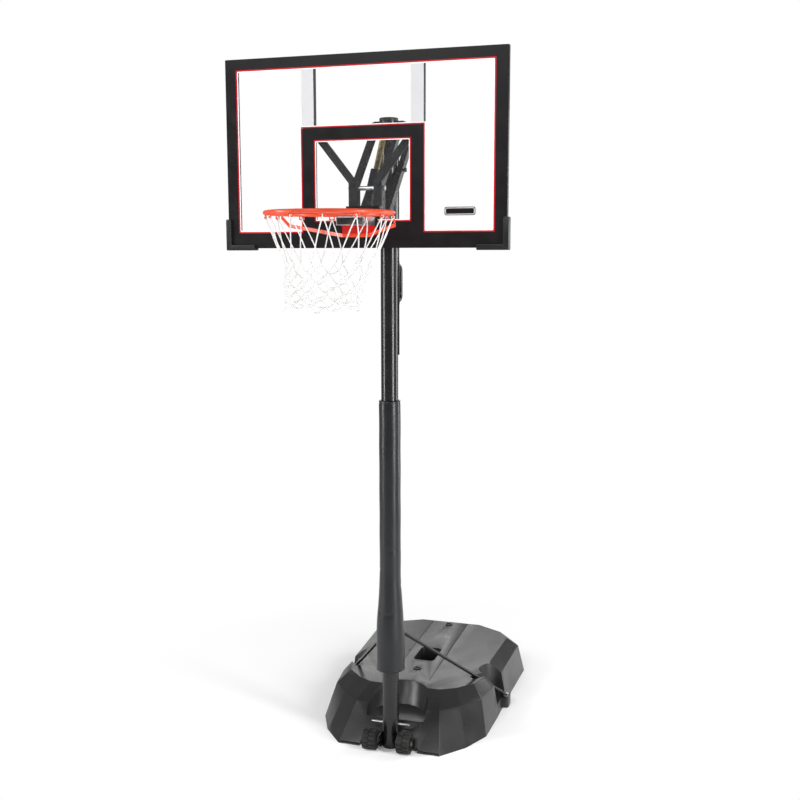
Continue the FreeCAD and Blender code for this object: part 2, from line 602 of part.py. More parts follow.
def make_stand_fittings():
    """Struts, cross rod, pad, pivot bolts and the ears that carry the assist strut."""
    strut = make_strut()
    save("strut_right", strut)
    save("strut_left", mirrored(strut))
    bolt = rod_y(0, STRUT_TOP_Z, -POLE_RADIUS - 4, POLE_RADIUS + SIDE_GAP + 22, SCREW_RADIUS)
    bolt = bolt.fuse(rod_y(0, STRUT_TOP_Z, -POLE_RADIUS - 4, -POLE_RADIUS, SCREW_RADIUS * 2))
    bolt = bolt.fuse(rod_y(0, STRUT_TOP_Z, POLE_RADIUS + SIDE_GAP + 16, POLE_RADIUS + SIDE_GAP + 22, 7))
    save("strut_top_bolt", bolt)
    foot_bolt = rod_z(STRUT_FOOT_X, STRUT_FOOT_Y, LEDGE_HEIGHT - TANK_WALL, LEDGE_HEIGHT + 5, SCREW_RADIUS)
    foot_bolt = foot_bolt.fuse(rod_z(STRUT_FOOT_X, STRUT_FOOT_Y, LEDGE_HEIGHT + 5, LEDGE_HEIGHT + 10, 8))
    save("strut_foot_bolts", pair(foot_bolt))
    save("pole_cross_rod", rod_x(0, CROSS_ROD_HEIGHT, -CROSS_ROD_HALF, CROSS_ROD_HALF, CROSS_ROD_RADIUS))
    save("pole_pad", make_pad())
    half = ARM_X + ARM_WIDTH / 2 + SIDE_GAP + HEAD_HEIGHT
    save("upper_pivot_bolt", bolt_x(0, ARM_PIVOT_UPPER, half, PIVOT_BOLT_RADIUS))
    save("lower_pivot_bolt", bolt_x(0, PIVOT_LOWER, half + 4, PIVOT_BOLT_RADIUS))
    ear_gap = SPRING_RADIUS + SIDE_GAP
    ear = link((-STRUT_TOP_FORWARD, STRUT_TOP_HEIGHT), (-POLE_RADIUS + 10, STRUT_TOP_HEIGHT), 16,
               ear_gap, ear_gap + PLATE_THICK)
    ear = ear.fuse(box(ear_gap, ear_gap + PLATE_THICK, -POLE_RADIUS, -20, STRUT_TOP_HEIGHT - 60,
                       STRUT_TOP_HEIGHT + 16))
    ear = ear.cut(rod_z(0, 0, 0, 4000, POLE_RADIUS + SEAT_GAP / 3))
    reach = ear_gap + PLATE_THICK
    pin = rod_x(-STRUT_TOP_FORWARD, STRUT_TOP_HEIGHT, -reach, reach, PIVOT_BOLT_RADIUS - 1)
    pin = pin.fuse(hex_x(-STRUT_TOP_FORWARD, STRUT_TOP_HEIGHT, reach, reach + 5, 8))
    pin = pin.fuse(hex_x(-STRUT_TOP_FORWARD, STRUT_TOP_HEIGHT, -reach - 5, -reach, 8))
    ear = ear.cut(rod_x(-STRUT_TOP_FORWARD, STRUT_TOP_HEIGHT, -50, 50, PIVOT_BOLT_RADIUS - 1))
    save("assist_ears", Part.makeCompound([ear, mirrored(ear), pin]))


# ------------------------------------------------------------------- linkage
def make_arms():
    """Upper and lower arms; the lower ones run on behind the pole to the lift bar."""
    upper = arm((0, ARM_PIVOT_UPPER), (-ARM_REACH, BOARD_PIVOT_UPPER), ARM_DEPTH,
                [(0, ARM_PIVOT_UPPER), (-ARM_REACH, BOARD_PIVOT_UPPER)])
    save("upper_arm_right", upper)
    save("upper_arm_left", mirrored(upper))
    lower = arm((TAIL_Y, TAIL_Z), (-ARM_REACH, BOARD_PIVOT_LOWER), LOWER_ARM_DEPTH,
                [(0, PIVOT_LOWER), (-ARM_REACH, BOARD_PIVOT_LOWER), (TAIL_Y, TAIL_Z)])
    save("lower_arm_right", lower)
    save("lower_arm_left", mirrored(lower))
    half = ARM_X + ARM_WIDTH / 2 + SIDE_GAP + HEAD_HEIGHT
    save("lower_arm_rear_bolt", bolt_x(TAIL_Y, TAIL_Z, half, PIVOT_BOLT_RADIUS))


def strut_frame(distance, across, from_foot):
    """A (y, z) point in the assist strut's own directions."""
    uy = (ARM_REACH - STRUT_TOP_FORWARD) / STRUT_LENGTH
    uz = (STRUT_TOP_HEIGHT - STRUT_FOOT_HEIGHT) / STRUT_LENGTH
    if from_foot:
        return (-ARM_REACH + uy * distance - uz * across, STRUT_FOOT_HEIGHT + uz * distance + uy * across)
    return (-STRUT_TOP_FORWARD - uy * distance - uz * across, STRUT_TOP_HEIGHT - uz * distance + uy * across)


def bar_along(points, x0, x1):
    """A closed (y, z) outline, from x0 to x1."""
    return prism([V(x0, y, z) for y, z in points], V(x1 - x0, 0, 0))


def make_assist():
    """The assist rod with its eye, the coil's envelope and the slotted channel."""
    eye_half = 8.0
    top = strut_frame(0, 0, False)
    start = strut_frame(EYE_RADIUS - 2, 0, False)
    end = strut_frame(ROD_LENGTH, 0, False)
    shaft = rod_between(V(0, start[0], start[1]), V(0, end[0], end[1]), ROD_RADIUS)
    eye = rod_x(top[0], top[1], -eye_half, eye_half, EYE_RADIUS)
    rod = shaft.fuse(eye).cut(rod_x(top[0], top[1], -20, 20, PIVOT_BOLT_RADIUS - 1 + RUNNING_GAP))
    save("assist_rod", rod)
    first = strut_frame(SPRING_START, 0, False)
    last = strut_frame(SPRING_START + SPRING_LENGTH, 0, False)
    a = V(0, first[0], first[1])
    b = V(0, last[0], last[1])
    save("assist_spring", rod_between(a, b, SPRING_RADIUS).cut(rod_between(a, b, SPRING_BORE)))
    half = CHANNEL_WIDTH / 2
    deep = CHANNEL_DEPTH / 2

    def outline(low, high, start_at, end_at):
        corners = [(start_at, low), (end_at, low), (end_at, high), (start_at, high)]
        return [strut_frame(d, c, True) for d, c in corners]

    channel = bar_along(outline(-deep, deep, -CHANNEL_TAIL, CHANNEL_LENGTH), -half, half)
    room = bar_along(outline(-deep - 1, deep - CHANNEL_WALL, -CHANNEL_TAIL - 1, CHANNEL_LENGTH + 1),
                     -half + CHANNEL_WALL, half - CHANNEL_WALL)
    channel = channel.cut(room)
    slot_pitch = 13.0
    for i in range(SLOT_COUNT):
        low = strut_frame(26 + i * slot_pitch, -9, True)
        high = strut_frame(33 + i * slot_pitch, 6, True)
        channel = channel.cut(link(low, high, 2.6, -half - 1, half + 1))
    foot = strut_frame(0, 0, True)
    channel = channel.cut(rod_x(foot[0], foot[1], -half - 1, half + 1, PIVOT_BOLT_RADIUS - 1 + RUNNING_GAP))
    save("ladder_channel", channel)


def make_lift():
    """The lift bar, its D-handle and the release trigger."""
    eye = rod_x(TAIL_Y, TAIL_Z, -BAR_WIDTH / 2, BAR_WIDTH / 2, EYE_RADIUS)
    strip = box(-BAR_WIDTH / 2, BAR_WIDTH / 2, TAIL_Y - BAR_THICK / 2, TAIL_Y + BAR_THICK / 2,
                BAR_FOOT, TAIL_Z)
    strip = strip.fuse(eye).cut(rod_x(TAIL_Y, TAIL_Z, -40, 40, PIVOT_BOLT_RADIUS + RUNNING_GAP))
    save("lift_bar", strip)
    back = TAIL_Y + BAR_THICK / 2
    grip_y = back + HANDLE_REACH - HANDLE_RADIUS
    bend = 26.0
    low = HANDLE_LOW + HANDLE_RADIUS
    high = HANDLE_HIGH - HANDLE_RADIUS
    half_turn = bend * math.sqrt(0.5)
    path = Part.Wire([
        Part.makeLine(V(0, back, low), V(0, grip_y - bend, low)),
        Part.Arc(V(0, grip_y - bend, low), V(0, grip_y - bend + half_turn, low + bend - half_turn),
                 V(0, grip_y, low + bend)).toShape(),
        Part.makeLine(V(0, grip_y, low + bend), V(0, grip_y, high - bend)),
        Part.Arc(V(0, grip_y, high - bend), V(0, grip_y - bend + half_turn, high - bend + half_turn),
                 V(0, grip_y - bend, high)).toShape(),
        Part.makeLine(V(0, grip_y - bend, high), V(0, back, high))])
    section = Part.Wire(Part.makeCircle(HANDLE_RADIUS, V(0, back, low), V(0, 1, 0)))
    loop = path.makePipeShell([section], True, False)
    plate = box(-BAR_WIDTH / 2, BAR_WIDTH / 2, back, back + 5, HANDLE_LOW - 12, HANDLE_HIGH + 12)
    plate = rounded(plate, 6, V(0, 1, 0))
    pivot_y = back + 15
    pivot_z = HANDLE_HIGH - 34
    lug_gap = TRIGGER_THICK + SIDE_GAP
    lug = link((back + 3, pivot_z), (pivot_y, pivot_z), 8, lug_gap, lug_gap + 3)
    lugs = lug.fuse(mirrored(lug)).fuse(rod_x(pivot_y, pivot_z, -lug_gap - 3, lug_gap + 3, 3))
    lugs = lugs.cut(box(-50, 50, 0, back, HANDLE_LOW, HANDLE_HIGH))
    save("lift_handle", loop.fuse(plate).fuse(lugs))
    trigger = link((pivot_y, pivot_z), (pivot_y + 4, HANDLE_LOW + 36), TRIGGER_THICK,
                   -TRIGGER_THICK, TRIGGER_THICK)
    trigger = trigger.cut(rod_x(pivot_y, pivot_z, -20, 20, 3 + RUNNING_GAP))
    save("release_trigger", trigger)


# ----------------------------------------------------------------- backboard
def make_board():
    """Panel, frame bars, rear channels, mount channel, brackets and braces."""
    half = BOARD_WIDTH / 2
    save("board_panel", box(-half, half, -BOARD_FRONT, PANEL_BACK, BOARD_BOTTOM, BOARD_TOP))
    low = BOARD_BOTTOM + BOTTOM_BAR
    high = BOARD_TOP - TOP_BAR
    save("frame_bottom", hollow_bar(-half, half, PANEL_BACK, FRAME_BACK, BOARD_BOTTOM, low))
    save("frame_top", hollow_bar(-half, half, PANEL_BACK, FRAME_BACK, high, BOARD_TOP))
    side = hollow_bar(half - SIDE_BAR, half, PANEL_BACK, FRAME_BACK, low, high)
    save("frame_right", side)
    save("frame_left", mirrored(side))
    inner = REAR_CHANNEL_INNER
    channel = hollow_bar(inner, inner + REAR_CHANNEL_WIDTH, PANEL_BACK, FRAME_BACK, low, high)
    save("rear_channel_right", channel)
    save("rear_channel_left", mirrored(channel))
    mount = hollow_bar(-MOUNT_HALF_WIDTH - 6, MOUNT_HALF_WIDTH + 6, PANEL_BACK, BRACKET_WEB, low, MOUNT_TOP)
    save("mount_channel", mount)
    x0 = ARM_X - ARM_WIDTH / 2 - SIDE_GAP - PLATE_THICK
    x1 = ARM_X + ARM_WIDTH / 2 + SIDE_GAP + PLATE_THICK
    foot = BOARD_PIVOT_LOWER - BRACKET_FOOT
    head = BOARD_PIVOT_UPPER + BRACKET_HEAD
    bracket = box(x0, x1, BRACKET_WEB, -ARM_REACH + BRACKET_REAR, foot, head)
    bracket = bracket.cut(box(x0 + PLATE_THICK, x1 - PLATE_THICK, BRACKET_WEB + PLATE_THICK, 0,
                              foot - 1, head + 1))
    spare_hole = (BOARD_PIVOT_UPPER - 44, SCREW_RADIUS)
    for z, radius in ((BOARD_PIVOT_UPPER, PIVOT_BOLT_RADIUS), (BOARD_PIVOT_LOWER, PIVOT_BOLT_RADIUS),
                      (STRUT_FOOT_HEIGHT, PIVOT_BOLT_RADIUS - 1), spare_hole):
        bracket = bracket.cut(rod_x(-ARM_REACH, z, x0 - 1, x1 + 1, radius + RUNNING_GAP))
    save("bracket_right", bracket)
    save("bracket_left", mirrored(bracket))
    brace_low = V(ARM_X, FRAME_BACK, BOARD_PIVOT_UPPER + 26)
    brace_high = V(inner - 2, FRAME_BACK, BOARD_PIVOT_UPPER + 214)
    run = brace_high - brace_low
    run.normalize()
    side_step = V(run.z, 0, -run.x) * (BRACE_WIDTH / 2)
    end_step = run * (BRACE_WIDTH / 2)
    brace = prism([brace_low - side_step - end_step, brace_high - side_step + end_step,
                   brace_high + side_step + end_step, brace_low + side_step - end_step], V(0, BRACE_THICK, 0))
    brace = brace.cut(box(-1000, x0, -500, 0, 0, 4000))
    save("brace_right", brace)
    save("brace_left", mirrored(brace))
    bolt_half = x1 + HEAD_HEIGHT
    upper = bolt_x(-ARM_REACH, BOARD_PIVOT_UPPER, bolt_half, PIVOT_BOLT_RADIUS)
    sleeve = rod_x(-ARM_REACH, BOARD_PIVOT_UPPER, -x0, x0, PIVOT_BOLT_RADIUS + 3)
    sleeve = sleeve.cut(rod_x(-ARM_REACH, BOARD_PIVOT_UPPER, -x0, x0, PIVOT_BOLT_RADIUS + RUNNING_GAP))
    save("board_upper_bolt", Part.makeCompound([upper, sleeve]))
    save("board_lower_bolt", bolt_x(-ARM_REACH, BOARD_PIVOT_LOWER, bolt_half, PIVOT_BOLT_RADIUS))
    pin = rod_x(-ARM_REACH, STRUT_FOOT_HEIGHT, -x0, x0, PIVOT_BOLT_RADIUS - 1)
    collar = rod_x(-ARM_REACH, STRUT_FOOT_HEIGHT, x0 - 5, x0, 8)
    save("ladder_pin", pin.fuse(collar).fuse(mirrored(collar)))


def make_guard():
    """The right lower corner guard: two legs that wrap the board's edge."""
    half = BOARD_WIDTH / 2
    y0 = -BOARD_FRONT - GUARD_WALL
    y1 = FRAME_BACK + PLATE_THICK
    outer = box(half - GUARD_LEG, half + GUARD_WALL, y0, y1,
                BOARD_BOTTOM - GUARD_WALL, BOARD_BOTTOM + GUARD_LEG)
    window = box(half - GUARD_LEG - 1, half - GUARD_LIP, y0 - 1, y1 + 1, BOARD_BOTTOM + GUARD_LIP,
                 BOARD_BOTTOM + GUARD_LEG + 1)
    guard = rounded(outer.cut(window), 5, V(0, 1, 0))
    return guard.cut(box(0, half, -BOARD_FRONT, FRAME_BACK, BOARD_BOTTOM, BOARD_TOP))


# ---------------------------------------------------------------------- ring
def make_mount():
    """The plate, its bolts, the breakaway pin and springs on the board."""
    plate = box(-MOUNT_HALF_WIDTH, MOUNT_HALF_WIDTH, PLATE_FRONT, -BOARD_FRONT, BOARD_BOTTOM + 12, MOUNT_TOP)
    plate = rounded(plate, 14, V(0, 1, 0))
    lug = link((PLATE_FRONT, RIM_PIVOT_Z), (RIM_PIVOT_Y, RIM_PIVOT_Z), 7, 30, 34)
    pin = rod_x(RIM_PIVOT_Y, RIM_PIVOT_Z, -34, 34, PIVOT_BOLT_RADIUS - 2)
    lugs = lug.fuse(mirrored(lug)).fuse(pin)
    save("rim_mount_plate", plate.fuse(lugs.cut(box(-100, 100, -BOARD_FRONT, 0, 0, 4000))))
    bolt_x_place = MOUNT_HALF_WIDTH - 18
    bolts = [rod_y(x, z, PLATE_FRONT - 5, PLATE_FRONT, 8)
             for x in (-bolt_x_place, bolt_x_place) for z in (BOARD_BOTTOM + 30, MOUNT_TOP - 14)]
    save("rim_mount_bolts", Part.makeCompound(bolts))
    spring_x = RIM_SPRING_RADIUS + 4
    spring_z = COVER_TOP - 2 * RIM_SPRING_RADIUS
    coil = rod_y(spring_x, spring_z, PLATE_FRONT - RIM_SPRING_LENGTH, PLATE_FRONT, RIM_SPRING_RADIUS)
    coil = coil.cut(rod_y(spring_x, spring_z, PLATE_FRONT - RIM_SPRING_LENGTH, PLATE_FRONT,
                          RIM_SPRING_RADIUS - 2.5))
    save("rim_springs", pair(coil))


def hook(angle):
    """A small U-shaped wire hook welded under the ring."""
    turn = math.radians(angle)
    radius = RING_RADIUS
    span = 9.0 / radius

    def at(offset, drop):
        swung = turn + offset
        return V(radius * math.cos(swung), RING_Y + radius * math.sin(swung), RING_UNDER - drop)

    sink = -1.5
    first = rod_between(at(-span, sink), at(-span, HOOK_DROP - HOOK_RADIUS), HOOK_RADIUS)
    second = rod_between(at(span, sink), at(span, HOOK_DROP - HOOK_RADIUS), HOOK_RADIUS)
    foot = rod_between(at(-span, HOOK_DROP - HOOK_RADIUS), at(span, HOOK_DROP - HOOK_RADIUS), HOOK_RADIUS)
    ends = [Part.makeSphere(HOOK_RADIUS, at(side * span, HOOK_DROP - HOOK_RADIUS)) for side in (-1, 1)]
    return first.fuse(second).fuse(foot).fuse(ends[0]).fuse(ends[1])


def cover_form(inset):
    """The cover's block with rounded lower side edges; inset, the room inside it, open above and behind."""
    half = BRACKET_HALF_WIDTH - 1 - inset
    bottom = COVER_TOP - COVER_HEIGHT + inset
    opened = 1 if inset > 0 else 0
    block = box(-half, half, RIM_BACK - COVER_LENGTH + inset, RIM_BACK + opened, bottom, COVER_TOP + opened)
    lowest = [e for e in block.Edges if e.CenterOfMass.z < bottom + 1]
    return block.makeFillet(16 - inset, [e for e in lowest if abs(e.tangentAt(0).y) > 0.9])


def make_ring():
    """Ring, net hooks, side straps, bracket, cover and net."""
    ring = Part.makeTorus(RING_RADIUS, RING_ROD_RADIUS, V(0, RING_Y, RING_HEIGHT))
    save("rim_ring", ring)
    step = (360.0 - HOOK_GAP) / (HOOK_COUNT - 1)
    hooks = [hook(90 + HOOK_GAP / 2 + step * i) for i in range(HOOK_COUNT)]
    hooks = [h.cut(ring) for h in hooks]
    save("rim_hooks", Part.makeCompound(hooks))
    turn = math.radians(BRACE_ANGLE)
    cover_front = RIM_BACK - COVER_LENGTH
    weld = V(RING_RADIUS * math.cos(turn), RING_Y + RING_RADIUS * math.sin(turn),
             RING_UNDER + STRAP_SINK - STRAP_HEIGHT)
    bend = V(STRAP_BEND_X, RING_Y + STRAP_BEND_OUT, RING_UNDER - STRAP_BEND_DROP)
    corner = V(BRACKET_HALF_WIDTH - 2, cover_front - STRAP_THICK / 2, COVER_TOP - COVER_HEIGHT - 2)
    middle = V(0, corner.y, corner.z)
    half_strap = flat_bar(weld, bend).fuse(flat_bar(bend, corner)).fuse(flat_bar(corner, middle))
    strap = half_strap.fuse(mirrored(half_strap)).cut(ring)
    save("rim_brace", strap)
    rear_of_ring = RING_Y + RING_RADIUS
    bracket = box(-BRACKET_HALF_WIDTH, BRACKET_HALF_WIDTH, rear_of_ring - 10, RIM_BACK,
                  COVER_TOP, RING_UNDER + STRAP_SINK)
    bracket = bracket.cut(box(-BRACKET_HALF_WIDTH + PLATE_THICK, BRACKET_HALF_WIDTH - PLATE_THICK,
                              rear_of_ring - 11, RIM_BACK - PLATE_THICK,
                              COVER_TOP + PLATE_THICK, RING_UNDER - PLATE_THICK))
    bracket = bracket.cut(ring)
    save("rim_bracket", bracket)
    cover = cover_form(0).cut(cover_form(3))
    # its back edge leans forward below the pivot, so that it clears the plate when the ring tilts
    bottom = COVER_TOP - COVER_HEIGHT - 1
    lean = (RIM_PIVOT_Z - bottom) * math.tan(math.radians(RIM_TILT + 3))
    relief = [V(-100, RIM_BACK, RIM_PIVOT_Z), V(-100, RIM_BACK - lean, bottom), V(-100, RIM_BACK + 2, bottom),
              V(-100, RIM_BACK + 2, RIM_PIVOT_Z)]
    cover = cover.cut(prism(relief, V(200, 0, 0)))
    knuckle = link((RIM_PIVOT_Y, RIM_PIVOT_Z), (RIM_PIVOT_Y, COVER_TOP - 4), 6, 20, 28)
    knuckle = knuckle.cut(rod_x(RIM_PIVOT_Y, RIM_PIVOT_Z, -50, 50, PIVOT_BOLT_RADIUS - 2 + RUNNING_GAP))
    knuckle = knuckle.cut(box(0, 50, -500, -300, COVER_TOP, COVER_TOP + 20))
    save("rim_cover", Part.makeCompound([cover, knuckle, mirrored(knuckle)]))
    net_top = RING_UNDER - HOOK_DROP - SIDE_GAP
    outer = Part.makeCone(NET_FOOT_RADIUS, NET_TOP_RADIUS, NET_LENGTH, V(0, RING_Y, net_top - NET_LENGTH))
    inner = Part.makeCone(NET_FOOT_RADIUS - NET_WALL, NET_TOP_RADIUS - NET_WALL, NET_LENGTH,
                          V(0, RING_Y, net_top - NET_LENGTH))
    save("net", outer.cut(inner))


os.makedirs("parts", exist_ok=True)
make_base()
make_wheels()
make_pole()
make_stand_fittings()
make_arms()
make_assist()
make_lift()
make_board()
guard = make_guard()
save("corner_guard_right", guard)
save("corner_guard_left", mirrored(guard))
make_mount()
make_ring()
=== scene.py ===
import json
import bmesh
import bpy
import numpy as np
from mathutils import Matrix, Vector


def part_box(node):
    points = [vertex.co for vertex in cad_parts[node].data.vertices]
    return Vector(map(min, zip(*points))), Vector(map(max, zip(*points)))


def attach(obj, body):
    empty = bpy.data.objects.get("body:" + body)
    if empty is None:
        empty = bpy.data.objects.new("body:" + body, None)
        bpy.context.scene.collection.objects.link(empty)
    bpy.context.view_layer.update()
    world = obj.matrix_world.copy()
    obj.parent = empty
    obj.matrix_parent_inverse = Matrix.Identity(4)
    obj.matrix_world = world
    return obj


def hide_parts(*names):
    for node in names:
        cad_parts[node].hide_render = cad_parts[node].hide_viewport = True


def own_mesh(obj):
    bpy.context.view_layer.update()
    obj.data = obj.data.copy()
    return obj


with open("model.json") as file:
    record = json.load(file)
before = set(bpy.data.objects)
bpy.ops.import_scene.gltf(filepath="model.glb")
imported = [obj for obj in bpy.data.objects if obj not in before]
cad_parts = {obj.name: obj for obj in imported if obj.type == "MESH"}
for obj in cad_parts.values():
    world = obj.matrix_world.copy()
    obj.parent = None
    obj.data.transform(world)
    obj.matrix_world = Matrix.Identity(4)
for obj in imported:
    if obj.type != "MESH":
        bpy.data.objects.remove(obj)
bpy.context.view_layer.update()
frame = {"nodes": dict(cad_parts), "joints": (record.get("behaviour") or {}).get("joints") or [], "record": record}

# %% [markdown]
# # A portable basketball hoop
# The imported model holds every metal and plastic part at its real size, in metres. This lesson dresses it:
# it measures the parts, makes the soft and fine pieces (sleeve, net, coils, printed lines) as surfaces
# worked out with numpy, and gives each piece a procedural finish. Sizes come from the parts themselves
# where there is one to measure, and are named values where there is none.


def low_high(node):
    """Lowest and highest corner of a part, as arrays."""
    low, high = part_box(node)
    return np.array(low), np.array(high)


def pivot(joint):
    """Where a hinge of the model turns."""
    return np.array(next(j for j in frame["joints"] if j["name"] == joint)["pos_m"])


panel_low, panel_high = low_high("board_panel")
ring_low, ring_high = low_high("rim_ring")
ring_centre = (ring_low + ring_high) / 2
ring_rod = (ring_high[2] - ring_low[2]) / 2
ring_radius = (ring_high[0] - ring_low[0]) / 2 - ring_rod
print("ring centre", ring_centre.round(3), "radius to the wire's middle", round(float(ring_radius), 4))

# %% [markdown]
# ## Surfaces from grids
# Every new piece is a grid of points: one parameter runs along the rows and one along the columns. A
# modelling tool or a modifier stack could make the same forms, but a formula says exactly where each
# point is, and the same two helpers then turn any grid, or any family of lines, into a mesh.

# %% Grid and tube helpers
def new_piece(name, points, faces, uv=None, smooth=True):
    """A mesh object at the origin from arrays of points and faces, with its own UV map."""
    mesh = bpy.data.meshes.new(name)
    mesh.from_pydata(points.reshape(-1, 3).tolist(), [], faces)
    if uv is not None:
        corners = np.empty(len(mesh.loops), dtype=np.int32)
        mesh.loops.foreach_get("vertex_index", corners)
        layer = mesh.uv_layers.new(name="length_and_girth")
        layer.data.foreach_set("uv", uv.reshape(-1, 2)[corners].ravel())
    mesh.polygons.foreach_set("use_smooth", np.full(len(mesh.polygons), smooth))
    mesh.update()
    piece = bpy.data.objects.new(name, mesh)
    bpy.context.collection.objects.link(piece)
    return piece


def grid_faces(rows, columns, close_rows=False, close_columns=False):
    """Quads between neighbours of a grid, as an array: point (i, j) is number i * columns + j."""
    number = np.arange(rows * columns).reshape(rows, columns)
    if close_rows:
        number = np.vstack([number, number[:1]])
    if close_columns:
        number = np.hstack([number, number[:, :1]])
    quads = [number[:-1, :-1], number[:-1, 1:], number[1:, 1:], number[1:, :-1]]
    return np.stack(quads, axis=-1).reshape(-1, 4)


def face_out(piece):
    """Closed piece: its faces turned outwards."""
    work = bmesh.new()
    work.from_mesh(piece.data)
    bmesh.ops.recalc_face_normals(work, faces=work.faces)
    work.to_mesh(piece.data)
    work.free()
    return piece


def tubes(name, paths, lean, radius, sides=8, girth=None):
    """Round tubes along many lines at once.

    paths is (lines, points, 3). At each point the tangent is the difference of its neighbours, the first
    normal is the tangent crossed with a leaning direction, and the second is the tangent crossed with the
    first. The skin is the path plus radius times (cosine of first + sine of second). Flat ends close it.
    """
    lines, count, _ = paths.shape
    tangent = np.gradient(paths, axis=1)
    tangent /= np.linalg.norm(tangent, axis=2, keepdims=True)
    first = np.cross(tangent, lean)
    first /= np.linalg.norm(first, axis=2, keepdims=True)
    second = np.cross(tangent, first)
    turn = np.linspace(0, 2 * np.pi, sides, endpoint=False)
    around = (np.cos(turn)[:, None] * first[:, :, None, :] + np.sin(turn)[:, None] * second[:, :, None, :])
    size = radius if girth is None else (radius * girth)[None, :, None, None]
    skin = paths[:, :, None, :] + size * around
    one = grid_faces(count, sides, close_columns=True)
    shift = np.arange(lines) * count * sides
    quads = (one[None] + shift[:, None, None]).reshape(-1, 4)
    ring = np.arange(sides)
    caps = [(ring + s).tolist() for s in shift]
    caps += [(ring[::-1] + s + (count - 1) * sides).tolist() for s in shift]
    steps = np.linalg.norm(np.diff(paths, axis=1), axis=2)
    along = np.concatenate([np.zeros((lines, 1)), np.cumsum(steps, axis=1)], axis=1)
    uv = np.stack(np.broadcast_arrays(along[:, :, None], turn / (2 * np.pi)), axis=-1)
    return face_out(new_piece(name, skin, quads.tolist() + caps, uv))


print("helpers ready: grids, tubes")

# %% [markdown]
# ## Where the viewer stands
# The hoop is seen from a little to its right, from about the height of the ring's underside, with a
# 48 mm lens. The camera's turn is given by three directions: where it looks, its right and its up.

# %% Camera
view_yaw, view_pitch, view_roll = 0.2924, 0.1403, -0.0019
look = np.array([-np.sin(view_yaw) * np.cos(view_pitch),
                 np.cos(view_yaw) * np.cos(view_pitch),
                 -np.sin(view_pitch)])
level = np.array([np.cos(view_yaw), np.sin(view_yaw), 0.0])
upright = np.cross(level, look)
right = np.cos(view_roll) * level + np.sin(view_roll) * upright
up = -np.sin(view_roll) * level + np.cos(view_roll) * upright
camera_data = bpy.data.cameras.new("viewer")
camera_data.lens = 47.65
camera = bpy.data.objects.new("viewer", camera_data)
bpy.context.collection.objects.link(camera)
turned = Matrix(np.column_stack([right, up, -look]).tolist()).to_4x4()
camera.matrix_world = Matrix.Translation((1.3975, -4.4828, 2.300)) @ turned
bpy.context.scene.camera = camera
print("camera at", tuple(round(v, 3) for v in camera.location), "lens", camera_data.lens)

# %% [markdown]
# ## Studio
# A white sweep and tall soft lamps at both sides, as a maker's catalogue would use: dark glossy metal then
# stays dark in front and gets a long clean highlight down each flank. The room is white where it is seen
# and dimmer as a light, and the paper under the hoop fades into pure white, so that no horizon shows.

# %% Lamps
scene = bpy.context.scene
scene.view_settings.view_transform = "Standard"


def soft_lamp(name, place, target, width, height, power):
    """An upright rectangular lamp that faces a point: its -Z axis is the direction from place to target."""
    data = bpy.data.lights.new(name, "AREA")
    data.shape = "RECTANGLE"
    data.size = width
    data.size_y = height
    data.energy = power
    lamp = bpy.data.objects.new(name, data)
    bpy.context.collection.objects.link(lamp)
    aim = np.array(target) - np.array(place)
    aim = aim / np.linalg.norm(aim)
    side = np.cross(aim, [0, 0, 1.0])
    side /= np.linalg.norm(side)
    spin = Matrix(np.column_stack([side, np.cross(side, aim), -aim]).tolist()).to_4x4()
    lamp.matrix_world = Matrix.Translation(place) @ spin
    return lamp


soft_lamp("left_strip", (-3.4, -1.9, 2.2), (0, 0.2, 1.0), 0.7, 3.2, 120)
soft_lamp("right_strip", (3.9, -1.7, 2.0), (0, 0.4, 0.9), 0.7, 3.2, 175)
soft_lamp("right_rear_strip", (2.7, 2.3, 1.9), (0, 0, 1.5), 1.2, 3.2, 60)
soft_lamp("front_top", (-1.2, -4.6, 5.0), (0, 0, 1.4), 2.4, 1.4, 110)
soft_lamp("rear_low", (-1.0, 6.2, 2.9), (0.1, 0.6, 0.3), 5.0, 1.6, 70)
print("5 soft lamps")

# %% White room and floor
world = bpy.data.worlds.new("white_room")
world.use_nodes = True
room = world.node_tree
seen = room.nodes["Background"]
seen.inputs["Color"].default_value = (1, 1, 1, 1)
seen.inputs["Strength"].default_value = 1.0
light = room.nodes.new("ShaderNodeBackground")
light.inputs["Color"].default_value = (1, 1, 1, 1)
light.inputs["Strength"].default_value = 0.30
path_kind = room.nodes.new("ShaderNodeLightPath")
choose = room.nodes.new("ShaderNodeMixShader")
room.links.new(path_kind.outputs["Is Camera Ray"], choose.inputs["Fac"])
room.links.new(light.outputs["Background"], choose.inputs[1])
room.links.new(seen.outputs["Background"], choose.inputs[2])
room.links.new(choose.outputs["Shader"], room.nodes["World Output"].inputs["Surface"])
scene.world = world

floor_half = 60.0
floor_points = np.array([[-1, -1, 0], [1, -1, 0], [1, 1, 0], [-1, 1, 0]]) * floor_half
floor = new_piece("floor", floor_points, [[0, 1, 2, 3]], smooth=False)
paper = bpy.data.materials.new("white_paper")
paper.use_nodes = True
sheet = paper.node_tree
sheet.nodes["Principled BSDF"].inputs["Base Color"].default_value = (0.95, 0.95, 0.95, 1)
sheet.nodes["Principled BSDF"].inputs["Roughness"].default_value = 0.9
glow = sheet.nodes.new("ShaderNodeEmission")
glow.inputs["Color"].default_value = (1, 1, 1, 1)
glow.inputs["Strength"].default_value = 1.0
spot = sheet.nodes.new("ShaderNodeTexCoord")
centred = sheet.nodes.new("ShaderNodeMapping")
centred.inputs["Location"].default_value = (0, -0.5, 0)
reach = sheet.nodes.new("ShaderNodeVectorMath")
reach.operation = "LENGTH"
fade = sheet.nodes.new("ShaderNodeMapRange")
fade.inputs["From Min"].default_value = 0.55
fade.inputs["From Max"].default_value = 1.7
